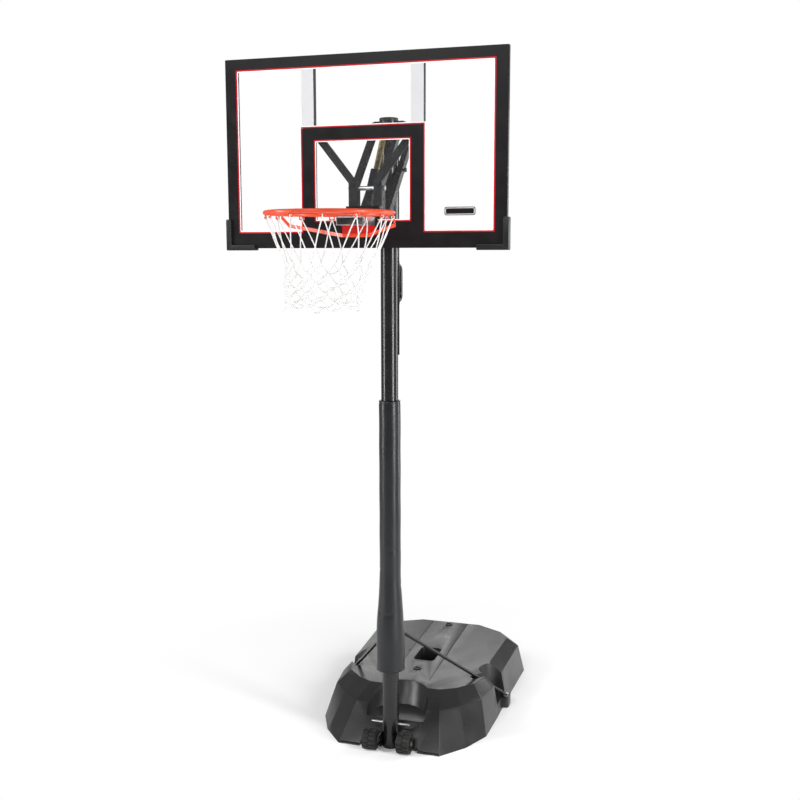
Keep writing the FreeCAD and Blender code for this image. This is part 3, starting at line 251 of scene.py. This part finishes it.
blend_to_white = sheet.nodes.new("ShaderNodeMixShader")
sheet.links.new(spot.outputs["Object"], centred.inputs["Vector"])
sheet.links.new(centred.outputs["Vector"], reach.inputs[0])
sheet.links.new(reach.outputs["Value"], fade.inputs["Value"])
seen_directly = sheet.nodes.new("ShaderNodeLightPath")
white_if_seen = sheet.nodes.new("ShaderNodeMath")
white_if_seen.operation = "MULTIPLY"
sheet.links.new(fade.outputs["Result"], white_if_seen.inputs[0])
sheet.links.new(seen_directly.outputs["Is Camera Ray"], white_if_seen.inputs[1])
sheet.links.new(white_if_seen.outputs["Value"], blend_to_white.inputs["Fac"])
sheet.links.new(sheet.nodes["Principled BSDF"].outputs["BSDF"], blend_to_white.inputs[1])
sheet.links.new(glow.outputs["Emission"], blend_to_white.inputs[2])
sheet.links.new(blend_to_white.outputs["Shader"], sheet.nodes["Material Output"].inputs["Surface"])
floor.data.materials.append(paper)
print("white room, paper floor", floor_half * 2, "m wide")

# %% [markdown]
# ## Finishes
# No real surface is one flat colour. Each finish mixes a base colour with a slightly lighter or darker
# one by a slow noise (mottling), varies its gloss by a second noise, and gets its skin, such as pebble or
# orange peel, from a fine bump. Patterns read object coordinates, which are metres here, so a scale of
# 700 means grains of about a millimetre and a half.

# %% A finish from noise
class Finish:
    """One procedural material and the few node moves that every finish here is made of."""

    def __init__(self, name, colour, roughness, metallic=0.0, specular=0.5):
        self.material = bpy.data.materials.new(name)
        self.material.use_nodes = True
        self.tree = self.material.node_tree
        self.skin = self.tree.nodes["Principled BSDF"]
        self.colour = colour
        self.skin.inputs["Base Color"].default_value = (*colour, 1)
        self.skin.inputs["Roughness"].default_value = roughness
        self.skin.inputs["Metallic"].default_value = metallic
        self.skin.inputs["Specular IOR Level"].default_value = specular
        self.place = self.tree.nodes.new("ShaderNodeTexCoord").outputs["Object"]
        self.colour_out = None
        self.normal_out = None

    def add(self, kind, **settings):
        """A node with its settings."""
        node = self.tree.nodes.new(kind)
        for key, value in settings.items():
            setattr(node, key, value)
        return node

    def link(self, source, target):
        """One wire."""
        self.tree.links.new(source, target)

    def noise(self, scale, detail=3.0, stretch=None):
        """Cloudy noise between 0 and 1; stretch scales the coordinates first."""
        node = self.add("ShaderNodeTexNoise")
        node.inputs["Scale"].default_value = scale
        node.inputs["Detail"].default_value = detail
        if stretch is None:
            self.link(self.place, node.inputs["Vector"])
        else:
            mapping = self.add("ShaderNodeMapping")
            mapping.inputs["Scale"].default_value = stretch
            self.link(self.place, mapping.inputs["Vector"])
            self.link(mapping.outputs["Vector"], node.inputs["Vector"])
        return node.outputs["Fac"]

    def spread(self, value, low, high, start=0.3, end=0.7):
        """A value stretched from start..end to low..high."""
        node = self.add("ShaderNodeMapRange")
        node.inputs["From Min"].default_value = start
        node.inputs["From Max"].default_value = end
        node.inputs["To Min"].default_value = low
        node.inputs["To Max"].default_value = high
        self.link(value, node.inputs["Value"])
        return node.outputs["Result"]

    def mottle(self, scale, amount, tint=None):
        """Colour drifts between the base and a tint, or between darker and lighter."""
        mix = self.add("ShaderNodeMix", data_type="RGBA")
        dark = [c * (1 - amount) for c in self.colour]
        light = tint if tint is not None else [min(1, c * (1 + amount)) for c in self.colour]
        mix.inputs["A"].default_value = (*dark, 1)
        mix.inputs["B"].default_value = (*light, 1)
        self.link(self.spread(self.noise(scale), 0, 1), mix.inputs["Factor"])
        self.colour_out = mix.outputs["Result"]
        self.link(self.colour_out, self.skin.inputs["Base Color"])
        return self

    def over(self, factor, colour):
        """A second colour laid over the first where factor is 1."""
        mix = self.add("ShaderNodeMix", data_type="RGBA")
        self.link(factor, mix.inputs["Factor"])
        self.link(self.colour_out, mix.inputs["A"])
        mix.inputs["B"].default_value = (*colour, 1)
        self.colour_out = mix.outputs["Result"]
        self.link(self.colour_out, self.skin.inputs["Base Color"])
        return self

    def gloss(self, low, high, scale=18):
        """Gloss drifts between two roughnesses."""
        self.link(self.spread(self.noise(scale), low, high), self.skin.inputs["Roughness"])
        return self

    def bump(self, height, strength, depth):
        """Fine relief: a height pattern, its strength and its real depth in metres."""
        node = self.add("ShaderNodeBump")
        node.inputs["Strength"].default_value = strength
        node.inputs["Distance"].default_value = depth
        self.link(height, node.inputs["Height"])
        if self.normal_out is not None:
            self.link(self.normal_out, node.inputs["Normal"])
        self.normal_out = node.outputs["Normal"]
        self.link(self.normal_out, self.skin.inputs["Normal"])
        return self

    def cells(self, scale, feature="F1"):
        """Distance to the nearest of many scattered points: pebbles, grain or spangle."""
        node = self.add("ShaderNodeTexVoronoi", feature=feature)
        node.inputs["Scale"].default_value = scale
        self.link(self.place, node.inputs["Vector"])
        return node


def dress(piece, finish):
    """Gives a piece one finish in every slot."""
    piece.data.materials.clear()
    piece.data.materials.append(finish.material)


print("finish helper ready")

# %% [markdown]
# ## The finishes of this hoop
# Blow-moulded tank plastic is charcoal with a pebbled skin and pale scuffs. Steel parts are black
# powder coat with a faint orange peel. The sleeve is a dark leather-like vinyl. Bolts and the cross rod
# are zinc, the coil is yellow zinc, the ring is glossy orange-red powder coat.

# %% Moulded plastics
tank_plastic = Finish("tank_plastic", (0.013, 0.013, 0.0135), 0.34)
tank_plastic.mottle(5, 0.12).gloss(0.27, 0.36, 9)
tank_plastic.over(tank_plastic.spread(tank_plastic.noise(60, 6, (1, 1, 4)), 0, 0.18, 0.60, 0.75),
                  (0.050, 0.050, 0.050))
tank_plastic.bump(tank_plastic.cells(620).outputs["Distance"], 0.25, 0.0004)
tank_plastic.bump(tank_plastic.noise(7, 2), 0.08, 0.004)

black_plastic = Finish("black_plastic", (0.010, 0.010, 0.011), 0.4, specular=0.35)
black_plastic.mottle(12, 0.2).gloss(0.32, 0.48)
black_plastic.bump(black_plastic.cells(900).outputs["Distance"], 0.25, 0.0003)

cover_plastic = Finish("cover_plastic", (0.56, 0.010, 0.007), 0.3, specular=0.4)
cover_plastic.mottle(20, 0.10).gloss(0.25, 0.36)
cover_plastic.bump(cover_plastic.noise(350, 2), 0.10, 0.0003)

clear_sheet = Finish("clear_sheet", (0.80, 0.82, 0.84), 0.05)
clear_sheet.mottle(4, 0.02).gloss(0.03, 0.07, 5)
clear_sheet.skin.inputs["Alpha"].default_value = 0.012
print("plastics:", [f.material.name for f in (tank_plastic, black_plastic, cover_plastic, clear_sheet)])

# %% Metals
black_coat = Finish("black_coat", (0.006, 0.006, 0.007), 0.26, specular=0.45)
black_coat.mottle(7, 0.25).gloss(0.20, 0.30)
black_coat.bump(black_coat.noise(600, 2), 0.04, 0.0002)

zinc_plate = Finish("zinc_plate", (0.55, 0.56, 0.57), 0.34, 1.0)
zinc_plate.mottle(40, 0.22).gloss(0.26, 0.46, 60)
zinc_plate.bump(zinc_plate.cells(260).outputs["Distance"], 0.10, 0.0004)

yellow_zinc = Finish("yellow_zinc", (0.46, 0.37, 0.15), 0.3, 0.85)
yellow_zinc.mottle(70, 0.25).gloss(0.24, 0.42, 80)
yellow_zinc.bump(yellow_zinc.noise(900, 2), 0.12, 0.0002)

ring_coat = Finish("ring_coat", (0.70, 0.055, 0.016), 0.32, specular=0.4)
ring_coat.mottle(14, 0.10, (0.76, 0.075, 0.020)).gloss(0.24, 0.34)
ring_coat.bump(ring_coat.noise(900, 2), 0.20, 0.0003)
print("metals:", [f.material.name for f in (black_coat, zinc_plate, yellow_zinc, ring_coat)])

# %% Soft finishes
vinyl = Finish("vinyl", (0.0060, 0.0066, 0.0084), 0.36, specular=0.42)
vinyl.mottle(5, 0.18).gloss(0.28, 0.38, 12)
vinyl.bump(vinyl.cells(520, "SMOOTH_F1").outputs["Distance"], 0.12, 0.0005)
vinyl.bump(vinyl.noise(9, 2, (1, 1, 0.35)), 0.14, 0.004)

tread = Finish("tread", (0.010, 0.010, 0.010), 0.6, specular=0.3)
tread.mottle(30, 0.25, (0.022, 0.021, 0.020)).gloss(0.5, 0.7)
tread.bump(tread.noise(600, 3), 0.35, 0.0005)

net_cord = Finish("net_cord", (0.74, 0.74, 0.73), 0.8)
net_cord.mottle(35, 0.05)
girth = net_cord.add("ShaderNodeUVMap", uv_map="length_and_girth")
twist = net_cord.add("ShaderNodeTexWave", wave_type="BANDS", bands_direction="DIAGONAL")
twist.inputs["Scale"].default_value = 1.0
winding = net_cord.add("ShaderNodeMapping")
winding.inputs["Scale"].default_value = (110, 1, 1)
net_cord.link(girth.outputs["UV"], winding.inputs["Vector"])
net_cord.link(winding.outputs["Vector"], twist.inputs["Vector"])
net_cord.bump(twist.outputs["Fac"], 0.5, 0.0006)
net_cord.skin.inputs["Sheen Weight"].default_value = 0.2

print_black = Finish("print_black", (0.007, 0.006, 0.007), 0.35, specular=0.2)
print_black.mottle(9, 0.2).gloss(0.30, 0.42)
print_red = Finish("print_red", (0.46, 0.006, 0.014), 0.35, specular=0.2)
print_red.mottle(9, 0.12).gloss(0.30, 0.42)
print_white = Finish("print_white", (0.90, 0.86, 0.87), 0.4)
print_white.mottle(9, 0.04).gloss(0.34, 0.46)
print_grey = Finish("print_grey", (0.58, 0.58, 0.595), 0.45, specular=0.2)
print_grey.mottle(6, 0.03).gloss(0.4, 0.5)
for ink in (print_black, print_red, print_white, print_grey):
    ink.bump(ink.noise(700, 2), 0.06, 0.0002)
print("soft finishes and inks ready")

# %% [markdown]
# ## Dressing the metal and plastic parts
# The parts that the model already has right stay as they are: each gets the finish of its own material
# slot. Their normals are kept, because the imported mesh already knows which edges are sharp.

# %% Finish by slot
finish_of_slot = {"base_plastic": tank_plastic, "ballast_water": clear_sheet, "black_metal": black_coat,
                  "black_plastic": black_plastic, "pad_vinyl": vinyl, "zinc": zinc_plate,
                  "yellow_zinc": yellow_zinc, "tread_rubber": tread, "clear_panel": clear_sheet,
                  "rim_orange": ring_coat, "cover_red": cover_plastic, "net_cord": net_cord}
slot_of_node = {row["node"]: row["material_slot"] for row in frame["record"]["subparts"]}
for node, slot in slot_of_node.items():
    dress(frame["nodes"][node], finish_of_slot[slot])
print(len(slot_of_node), "parts dressed")

# %% [markdown]
# ## Softer edges
# Moulded and bent parts have no knife edges. A copy of the part is merged into one skin, its flat
# triangles are joined into whole faces, and a Bevel modifier rounds every edge sharper than a set angle.
# Sculpting or a remesh would also round them, but would blur the flats.

# %% Rounded copies of parts
def softened(node, body, width, angle, segments=2):
    """A copy of a part: doubles merged, coplanar triangles dissolved, edges over the angle bevelled."""
    source = frame["nodes"][node]
    work = bmesh.new()
    work.from_mesh(source.data)
    bmesh.ops.remove_doubles(work, verts=work.verts, dist=2e-5)
    bmesh.ops.dissolve_limit(work, angle_limit=np.radians(0.6), verts=work.verts, edges=work.edges)
    mesh = bpy.data.meshes.new(node + "_soft")
    work.to_mesh(mesh)
    work.free()
    mesh.polygons.foreach_set("use_smooth", np.full(len(mesh.polygons), True))
    piece = bpy.data.objects.new(node + "_soft", mesh)
    bpy.context.collection.objects.link(piece)
    bevel = piece.modifiers.new("edges", "BEVEL")
    bevel.width = width
    bevel.segments = segments
    bevel.limit_method = "ANGLE"
    bevel.angle_limit = np.radians(angle)
    bevel.harden_normals = True
    dress(piece, finish_of_slot[slot_of_node[node]])
    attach(piece, body)
    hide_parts(node)
    return piece


softened("base_tank", "stand", 0.007, 13, 3)
for side in ("left", "right"):
    softened("corner_guard_" + side, "board", 0.0015, 35)
    softened("wheel_" + side, "wheel_" + side + "_body", 0.0012, 35)
print("softened: tank, guards, wheels")

# %% [markdown]
# ## The padded sleeve
# Foam in vinyl, wrapped round the pole and closed by a lap seam down its back. It is tight above and
# widens below, where it parts to let the two rear struts out. A cloth simulation would mostly find this
# same tight tube, so it is a grid: angle round the pole by height, its radius eased between two sizes,
# with shallow creases where the foam is drawn in and a rolled hem at each end.

# %% Sleeve surface
pad_low, pad_high = low_high("pole_pad")
sleeve_wide = pad_high[0]
sleeve_slim = 0.0488
pole_skin = (low_high("pole_bottom_section")[1])[0] + 0.0006


def ease(value, start, end):
    """A smooth step from 0 at start to 1 at end: three times the square less twice the cube."""
    t = np.clip((value - start) / (end - start), 0, 1)
    return t * t * (3 - 2 * t)


def sleeve_skin(rows=230, columns=120):
    """Outer skin of the sleeve.

    The radius eases from wide to slim going up; long soft waves and a few creases are sums of sines of
    height and angle. Below the flare the lap at the back opens as an upside-down V.
    """
    height = np.linspace(pad_low[2] + 0.001, pad_high[2] - 0.001, rows)[:, None]
    share = np.linspace(0, 1, columns)[None, :]
    gap = 0.012 + 0.62 * (1 - ease(height, 0.535, 0.640))
    angle = np.pi / 2 + gap + share * (2 * np.pi - 2 * gap)
    radius = sleeve_wide - 0.0015 + (sleeve_slim - sleeve_wide + 0.0015) * ease(height, 0.50, 0.86)
    radius = radius - 0.0004 * (1 + np.sin(31 * height + 1.7 * np.cos(angle)))
    radius = radius - 0.0004 * (1 + np.sin(5 * angle + 9 * height)) * ease(-height, -1.0, -0.55)
    creases = np.zeros_like(radius * angle)
    for middle, lean, depth in ((0.93, 0.03, 0.0010), (0.815, -0.04, 0.0014), (0.70, 0.05, 0.0012)):
        offset = height - middle - lean * np.sin(angle + middle * 9)
        strength = 0.5 + 0.5 * np.sin(angle * 1.5 + middle * 20)
        creases = creases + depth * np.exp(-(offset / 0.009) ** 2) * strength
    radius = radius - creases
    hem = (np.exp(-((height - pad_low[2] - 0.012) / 0.0035) ** 2)
           + np.exp(-((height - pad_high[2] + 0.012) / 0.0035) ** 2))
    radius = radius - 0.0016 * hem
    lap = np.minimum(share, 1 - share)
    radius = radius - 0.0012 * np.exp(-((lap - 0.022) / 0.006) ** 2)
    radius = np.maximum(radius, pole_skin + 0.004)
    level = np.broadcast_to(height, radius.shape)
    grid = np.stack([radius * np.cos(angle), radius * np.sin(angle), level], axis=-1)
    uv = np.stack(np.broadcast_arrays(height, share * 0.3), axis=-1)
    return grid, uv


grid, uv = sleeve_skin()
sleeve = new_piece("sleeve", grid, grid_faces(*grid.shape[:2]).tolist(), uv)
wall = sleeve.modifiers.new("foam", "SOLIDIFY")
wall.thickness = 0.0075
wall.offset = -1
wall.use_rim = True
dress(sleeve, vinyl)
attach(sleeve, "stand")
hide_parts("pole_pad")
print("sleeve from", round(float(pad_low[2]), 3), "to", round(float(pad_high[2]), 3))

# %% [markdown]
# ## The net
# Twelve hooks carry twenty-four cords, which run down and round in two opposite directions and are
# knotted where they cross. Each crossing is moved by the same smooth drift for both cords, so the knots
# stay together. Between knots a cord bows a little, because it is longer than the gap it spans.

# %% Net cords
hook_count = 12
hook_gap = np.radians(36.0)
hook_step = (2 * np.pi - hook_gap) / (hook_count - 1)
hook_low, _ = low_high("rim_hooks")
row_drop = np.array([0.0, 0.172, 0.218, 0.258, 0.292, 0.318, 0.338])
row_size = np.array([0.2366, 0.160, 0.149, 0.143, 0.139, 0.136, 0.134])
net_top = hook_low[2] + 0.0035
cord_radius = 0.0024
points_per_row = 12
rows = len(row_drop) - 1


def hang(angle, row):
    """Where the net is at an angle and a row, which may be fractional.

    Drop and radius are interpolated between rows; a drift of sines shakes the knots; the whole net leans
    aside by a power of its drop.
    """
    drop = np.interp(row, np.arange(rows + 1), row_drop)
    radius = np.interp(row, np.arange(rows + 1), row_size)
    loose = np.clip(row / rows, 0, 1)
    radius = radius + loose * 0.008 * np.sin(3 * angle + 1.3 * row)
    radius = radius + loose * 0.004 * np.sin(7 * angle - 2 * row)
    drop = drop + loose * 0.008 * np.sin(4 * angle + 0.9 * row + 1.0)
    swing = angle + loose * 0.05 * np.sin(5 * angle + 1.7 * row)
    lean = 0.040 * (drop / row_drop[-1]) ** 2.5
    return np.stack([ring_centre[0] - lean + radius * np.cos(swing),
                     ring_centre[1] + radius * np.sin(swing), net_top - drop], axis=-1)


def net_paths():
    """All cords as (24, points, 3): cord k of a family starts at hook k and turns half a step per row.

    Hooks are spaced evenly but for a gap at the back; the gap closes over the first row, by easing each
    cord's angle from its hook's to an even share of the circle. A sine between knots gives the bow.
    """
    count = rows * points_per_row + 1
    row = np.linspace(0, rows, count)[None, :]
    hooks = np.pi / 2 + hook_gap / 2 + hook_step * np.arange(hook_count)
    even = np.pi / 2 + 2 * np.pi / hook_count * (np.arange(hook_count) + 0.5)
    blend_in = ease(row, 0, 1)
    base = hooks[:, None] * (1 - blend_in) + even[:, None] * blend_in
    families = [base + sign * np.pi / hook_count * row for sign in (-1, 1)]
    angle = np.concatenate(families)
    row = np.broadcast_to(row, angle.shape)
    paths = hang(angle, row)
    bow = np.sin(np.pi * (row % 1)) * 0.006 * np.clip(row, 0, 1)
    outward = paths - np.array([ring_centre[0], ring_centre[1], 0])
    outward[..., 2] = 0
    outward /= np.linalg.norm(outward, axis=2, keepdims=True)
    wave = np.sin(2 * np.pi * row + 3 * angle) * 0.003 * np.clip(row - 1, 0, 1)
    paths = paths + outward * bow[..., None]
    paths[..., 2] -= bow * 0.8 + wave
    return paths, outward


paths, outward = net_paths()
net = tubes("net_cords", paths, outward, cord_radius, 7)
dress(net, net_cord)
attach(net, "rim")
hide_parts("net")
length = np.linalg.norm(np.diff(paths, axis=1), axis=2).sum(axis=1)
print("net:", len(paths), "cords, each about", round(float(length.mean()), 3), "m")

# %% Knots and hook loops
def beads(name, centres, radii, sides=8, rings=5):
    """Small closed rounds at many places: a latitude and longitude grid, scaled in x, y and z."""
    turn = np.linspace(0, 2 * np.pi, sides, endpoint=False)
    tilt = np.linspace(0.05, np.pi - 0.05, rings)
    ball = np.stack([np.sin(tilt)[:, None] * np.cos(turn), np.sin(tilt)[:, None] * np.sin(turn),
                     np.cos(tilt)[:, None] * np.ones(sides)], axis=-1)
    points = centres[:, None, None, :] + ball[None] * radii
    size = sides * rings
    shift = np.arange(len(centres)) * size
    quads = (grid_faces(rings, sides, close_columns=True)[None] + shift[:, None, None]).reshape(-1, 4)
    ring = np.arange(sides)
    caps = [(ring + s).tolist() for s in shift] + [(ring + s + (rings - 1) * sides).tolist() for s in shift]
    uv = np.zeros((*points.shape[:3], 2))
    return face_out(new_piece(name, points, quads.tolist() + caps, uv))


knots_at = paths[:hook_count, ::points_per_row][:, 1:].reshape(-1, 3)
knots = beads("net_knots", knots_at, np.array([0.0046, 0.0046, 0.0054]))
dress(knots, net_cord)
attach(knots, "rim")

loop_radius, loop_cord = 0.0052, 0.0021
loop_turn = np.linspace(0, 2 * np.pi, 19)
loop_start = paths[:hook_count, 0]
hook_out = outward[:hook_count, 0]
hook_side = np.cross(hook_out, [0, 0, 1.0])
loop = (loop_start[:, None, :] + loop_radius * np.cos(loop_turn)[:, None] * hook_out[:, None, :]
        + np.array([0, 0, loop_radius]) * np.sin(loop_turn)[:, None])
loops = tubes("net_loops", loop, np.broadcast_to(hook_side[:, None, :], loop.shape), loop_cord, 6)
dress(loops, net_cord)
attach(loops, "rim")
print(len(knots_at), "knots and", len(loop), "hook loops")

# %% [markdown]
# ## The coil spring on the assist strut
# A helix is a circle that moves along the strut while it turns: its two radial directions come from the
# strut's own slant. The last turn at each end is closed up, as on a real compression spring. When the
# board rises the strut shortens; the coil here is only carried by the strut and is not squashed.

# %% Assist coil
strut_top = pivot("assist_strut_swing")
strut_foot = pivot("ladder_swing")
strut_way = (strut_foot - strut_top) / np.linalg.norm(strut_foot - strut_top)
coil_start, coil_length = 0.020, 0.168
coil_turns = 21
coil_wire = 0.0019
coil_radius = 0.013 - coil_wire


def helix(start, way, radius, length, turns, wire, per_turn=20):
    """A coil as one path: along the way by an eased share, round it by an even turn."""
    share = np.linspace(0, 1, int(turns * per_turn) + 1)
    closed = wire * 2 / length
    along = np.interp(share * turns, [0, 1, turns - 1, turns], [0, closed, 1 - closed, 1]) * length
    side = np.cross(way, [1.0, 0, 0])
    side /= np.linalg.norm(side)
    other = np.cross(way, side)
    turn = share * turns * 2 * np.pi
    radial = np.cos(turn)[:, None] * side + np.sin(turn)[:, None] * other
    return start + way * along[:, None] + radius * radial, np.broadcast_to(way, (len(share), 3))


coil_top = strut_top + strut_way * coil_start
path, lean = helix(coil_top, strut_way, coil_radius, coil_length, coil_turns, coil_wire)
coil = tubes("assist_coil", path[None], lean[None], coil_wire, 8)
dress(coil, yellow_zinc)
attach(coil, "assist_strut")
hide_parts("assist_spring")
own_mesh(coil)
print("assist coil:", coil_turns, "turns over", coil_length, "m")

# %% [markdown]
# ## The breakaway springs
# Two short coils under the red cover hold the ring up against its plate. They are the same helix.

# %% Ring springs
spring_low, spring_high = low_high("rim_springs")
spring_z = (spring_low[2] + spring_high[2]) / 2
spring_x = spring_high[0] - 0.006
spring_radius, spring_wire, spring_turns, spring_gap = 0.0047, 0.0012, 8, 0.001
spring_length = spring_high[1] - spring_low[1] - 2 * spring_gap
ring_coils = []
for side in (-1, 1):
    spring_start = np.array([side * spring_x, spring_high[1] - spring_gap, spring_z])
    path, lean = helix(spring_start, np.array([0, -1.0, 0]), spring_radius, spring_length,
                       spring_turns, spring_wire, 16)
    ring_coils.append(path)
springs = tubes("ring_coils", np.stack(ring_coils), np.stack([lean, lean]), spring_wire, 7)
dress(springs, zinc_plate)
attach(springs, "board")
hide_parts("rim_springs")
print("ring coils:", len(ring_coils))

# %% [markdown]
# ## Printed lines on the clear panel
# Border, shooter's square and accent lines are ink on the panel's front. An image would tie them to a
# texture, so each is a real strip half a millimetre thick: two nested rectangles with rounded corners,
# sampled with the same number of points, and joined front to back into one closed band.

# %% Strips of ink
def rounded_loop(x0, x1, z0, z1, radius, per_corner=7):
    """Points round a rectangle, each corner a quarter circle: centre plus radius times (cosine, sine)."""
    turn = np.linspace(0, np.pi / 2, per_corner)
    centres = np.array([[x1 - radius, z1 - radius], [x0 + radius, z1 - radius],
                        [x0 + radius, z0 + radius], [x1 - radius, z0 + radius]])
    quarter = np.arange(4) * np.pi / 2
    angle = (quarter[:, None] + turn[None, :])
    points = centres[:, None, :] + radius * np.stack([np.cos(angle), np.sin(angle)], axis=-1)
    return points.reshape(-1, 2)


ink_front = panel_low[1]
ink_thick = 0.0005


def ink_band(name, outer, inner, finish, lift=0.0):
    """A flat band between two loops: four copies of the loops, front and back, closed both ways."""
    front = ink_front - ink_thick - lift
    back = ink_front - lift
    layers = [(outer, front), (inner, front), (inner, back), (outer, back)]
    sheets = [np.stack([loop[:, 0], np.full(len(loop), y), loop[:, 1]], axis=-1) for loop, y in layers]
    grid = np.stack(sheets)
    piece = new_piece(name, grid, grid_faces(*grid.shape[:2], close_rows=True, close_columns=True).tolist(),
                      smooth=False)
    dress(face_out(piece), finish)
    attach(piece, "board")
    return piece


def ink_plate(name, loop, finish, lift=0.0, thick=ink_thick):
    """A filled flat shape: its outline, front and back, with two whole faces."""
    count = len(loop)
    layers = [ink_front - thick - lift, ink_front - lift]
    points = np.stack([np.stack([loop[:, 0], np.full(count, y), loop[:, 1]], axis=-1) for y in layers])
    faces = grid_faces(2, count, close_columns=True).tolist()
    ends = [list(range(count)), list(range(2 * count - 1, count - 1, -1))]
    piece = new_piece(name, points, faces + ends, smooth=False)
    dress(face_out(piece), finish)
    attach(piece, "board")
    return piece


def inset_loop(box, step, radius):
    """The same rectangle, smaller by a step on every side."""
    x0, x1, z0, z1 = box
    return rounded_loop(x0 + step, x1 - step, z0 + step, z1 - step, radius)


edge = 0.0006
board_box = (panel_low[0] + edge, panel_high[0] - edge, panel_low[2] + edge, panel_high[2] - edge)
frame_side = low_high("frame_right")[0][0]
frame_low = low_high("frame_bottom")[1][2]
frame_high = low_high("frame_top")[0][2]
window = (-frame_side, frame_side, frame_low, frame_high)
red_line, white_line = 0.0058, 0.0036
turn_radius = 0.004
outer = inset_loop(board_box, 0, turn_radius)
opening = inset_loop(window, 0, turn_radius)
within_red = inset_loop(window, red_line, turn_radius)
within_white = inset_loop(window, red_line + white_line, turn_radius)
ink_band("border_black", outer, opening, print_black)
ink_band("border_red", opening, within_red, print_red)
ink_band("border_white", within_red, within_white, print_white)
print("border printed")

# %% Shooter's square
square_half, square_top = 0.257, 2.793
inner_half, inner_top, inner_low = 0.205, 2.744, 2.416
overlap = 0.0002
square_red, square_white = 0.0050, 0.0032
band_box = (-square_half, square_half, frame_low - 0.002, square_top)
hole_box = (-inner_half, inner_half, inner_low, inner_top)
hole_turn = 0.003
edge_lift = ink_thick + overlap
hole = inset_loop(hole_box, 0, hole_turn)
within_red = inset_loop(hole_box, square_red, hole_turn)
within_white = inset_loop(hole_box, square_red + square_white, hole_turn)
ink_band("square_black", inset_loop(band_box, 0, turn_radius), hole, print_black, edge_lift)
ink_band("square_red_inner", hole, within_red, print_red, edge_lift)
ink_band("square_white_inner", within_red, within_white, print_white, edge_lift)


def straight_line(name, x0, x1, z0, z1, finish):
    """One straight line of ink."""
    return ink_plate(name, rounded_loop(x0, x1, z0, z1, 0.0003, 2), finish, edge_lift)


line_foot = frame_low + red_line
red_edge, red_top = square_half + square_red, square_top + square_red
white_edge, white_top = red_edge + square_white, red_top + square_white
for sign, side in ((-1, "left"), (1, "right")):
    near, far = sorted((sign * square_half, sign * red_edge))
    straight_line("square_red_" + side, near, far, line_foot, red_top, print_red)
    near, far = sorted((sign * red_edge, sign * white_edge))
    straight_line("square_white_" + side, near, far, line_foot, white_top, print_white)
straight_line("square_red_top", -square_half, square_half, square_top, red_top, print_red)
straight_line("square_white_top", -red_edge, red_edge, red_top, white_top, print_white)
print("square printed")

# %% Grey fronts of the rear channels and the blank badge
for sign, side in ((-1, "left"), (1, "right")):
    low, high = low_high("rear_channel_" + side)
    outline = rounded_loop(low[0], high[0], white_top, frame_high - red_line - white_line, 0.0003, 2)
    ink_plate("channel_front_" + side, outline, print_grey)
badge_box = (0.343, 0.468, 2.437, 2.470)
ink_plate("badge_edge", inset_loop(badge_box, 0, 0.008), print_black, 0.0, 0.0010)
ink_plate("badge_line", inset_loop(badge_box, 0.0034, 0.006), print_white, 0.0, 0.0012)
ink_plate("badge_field", inset_loop(badge_box, 0.0056, 0.004), print_black, 0.0, 0.0014)
print("bands and blank badge done")
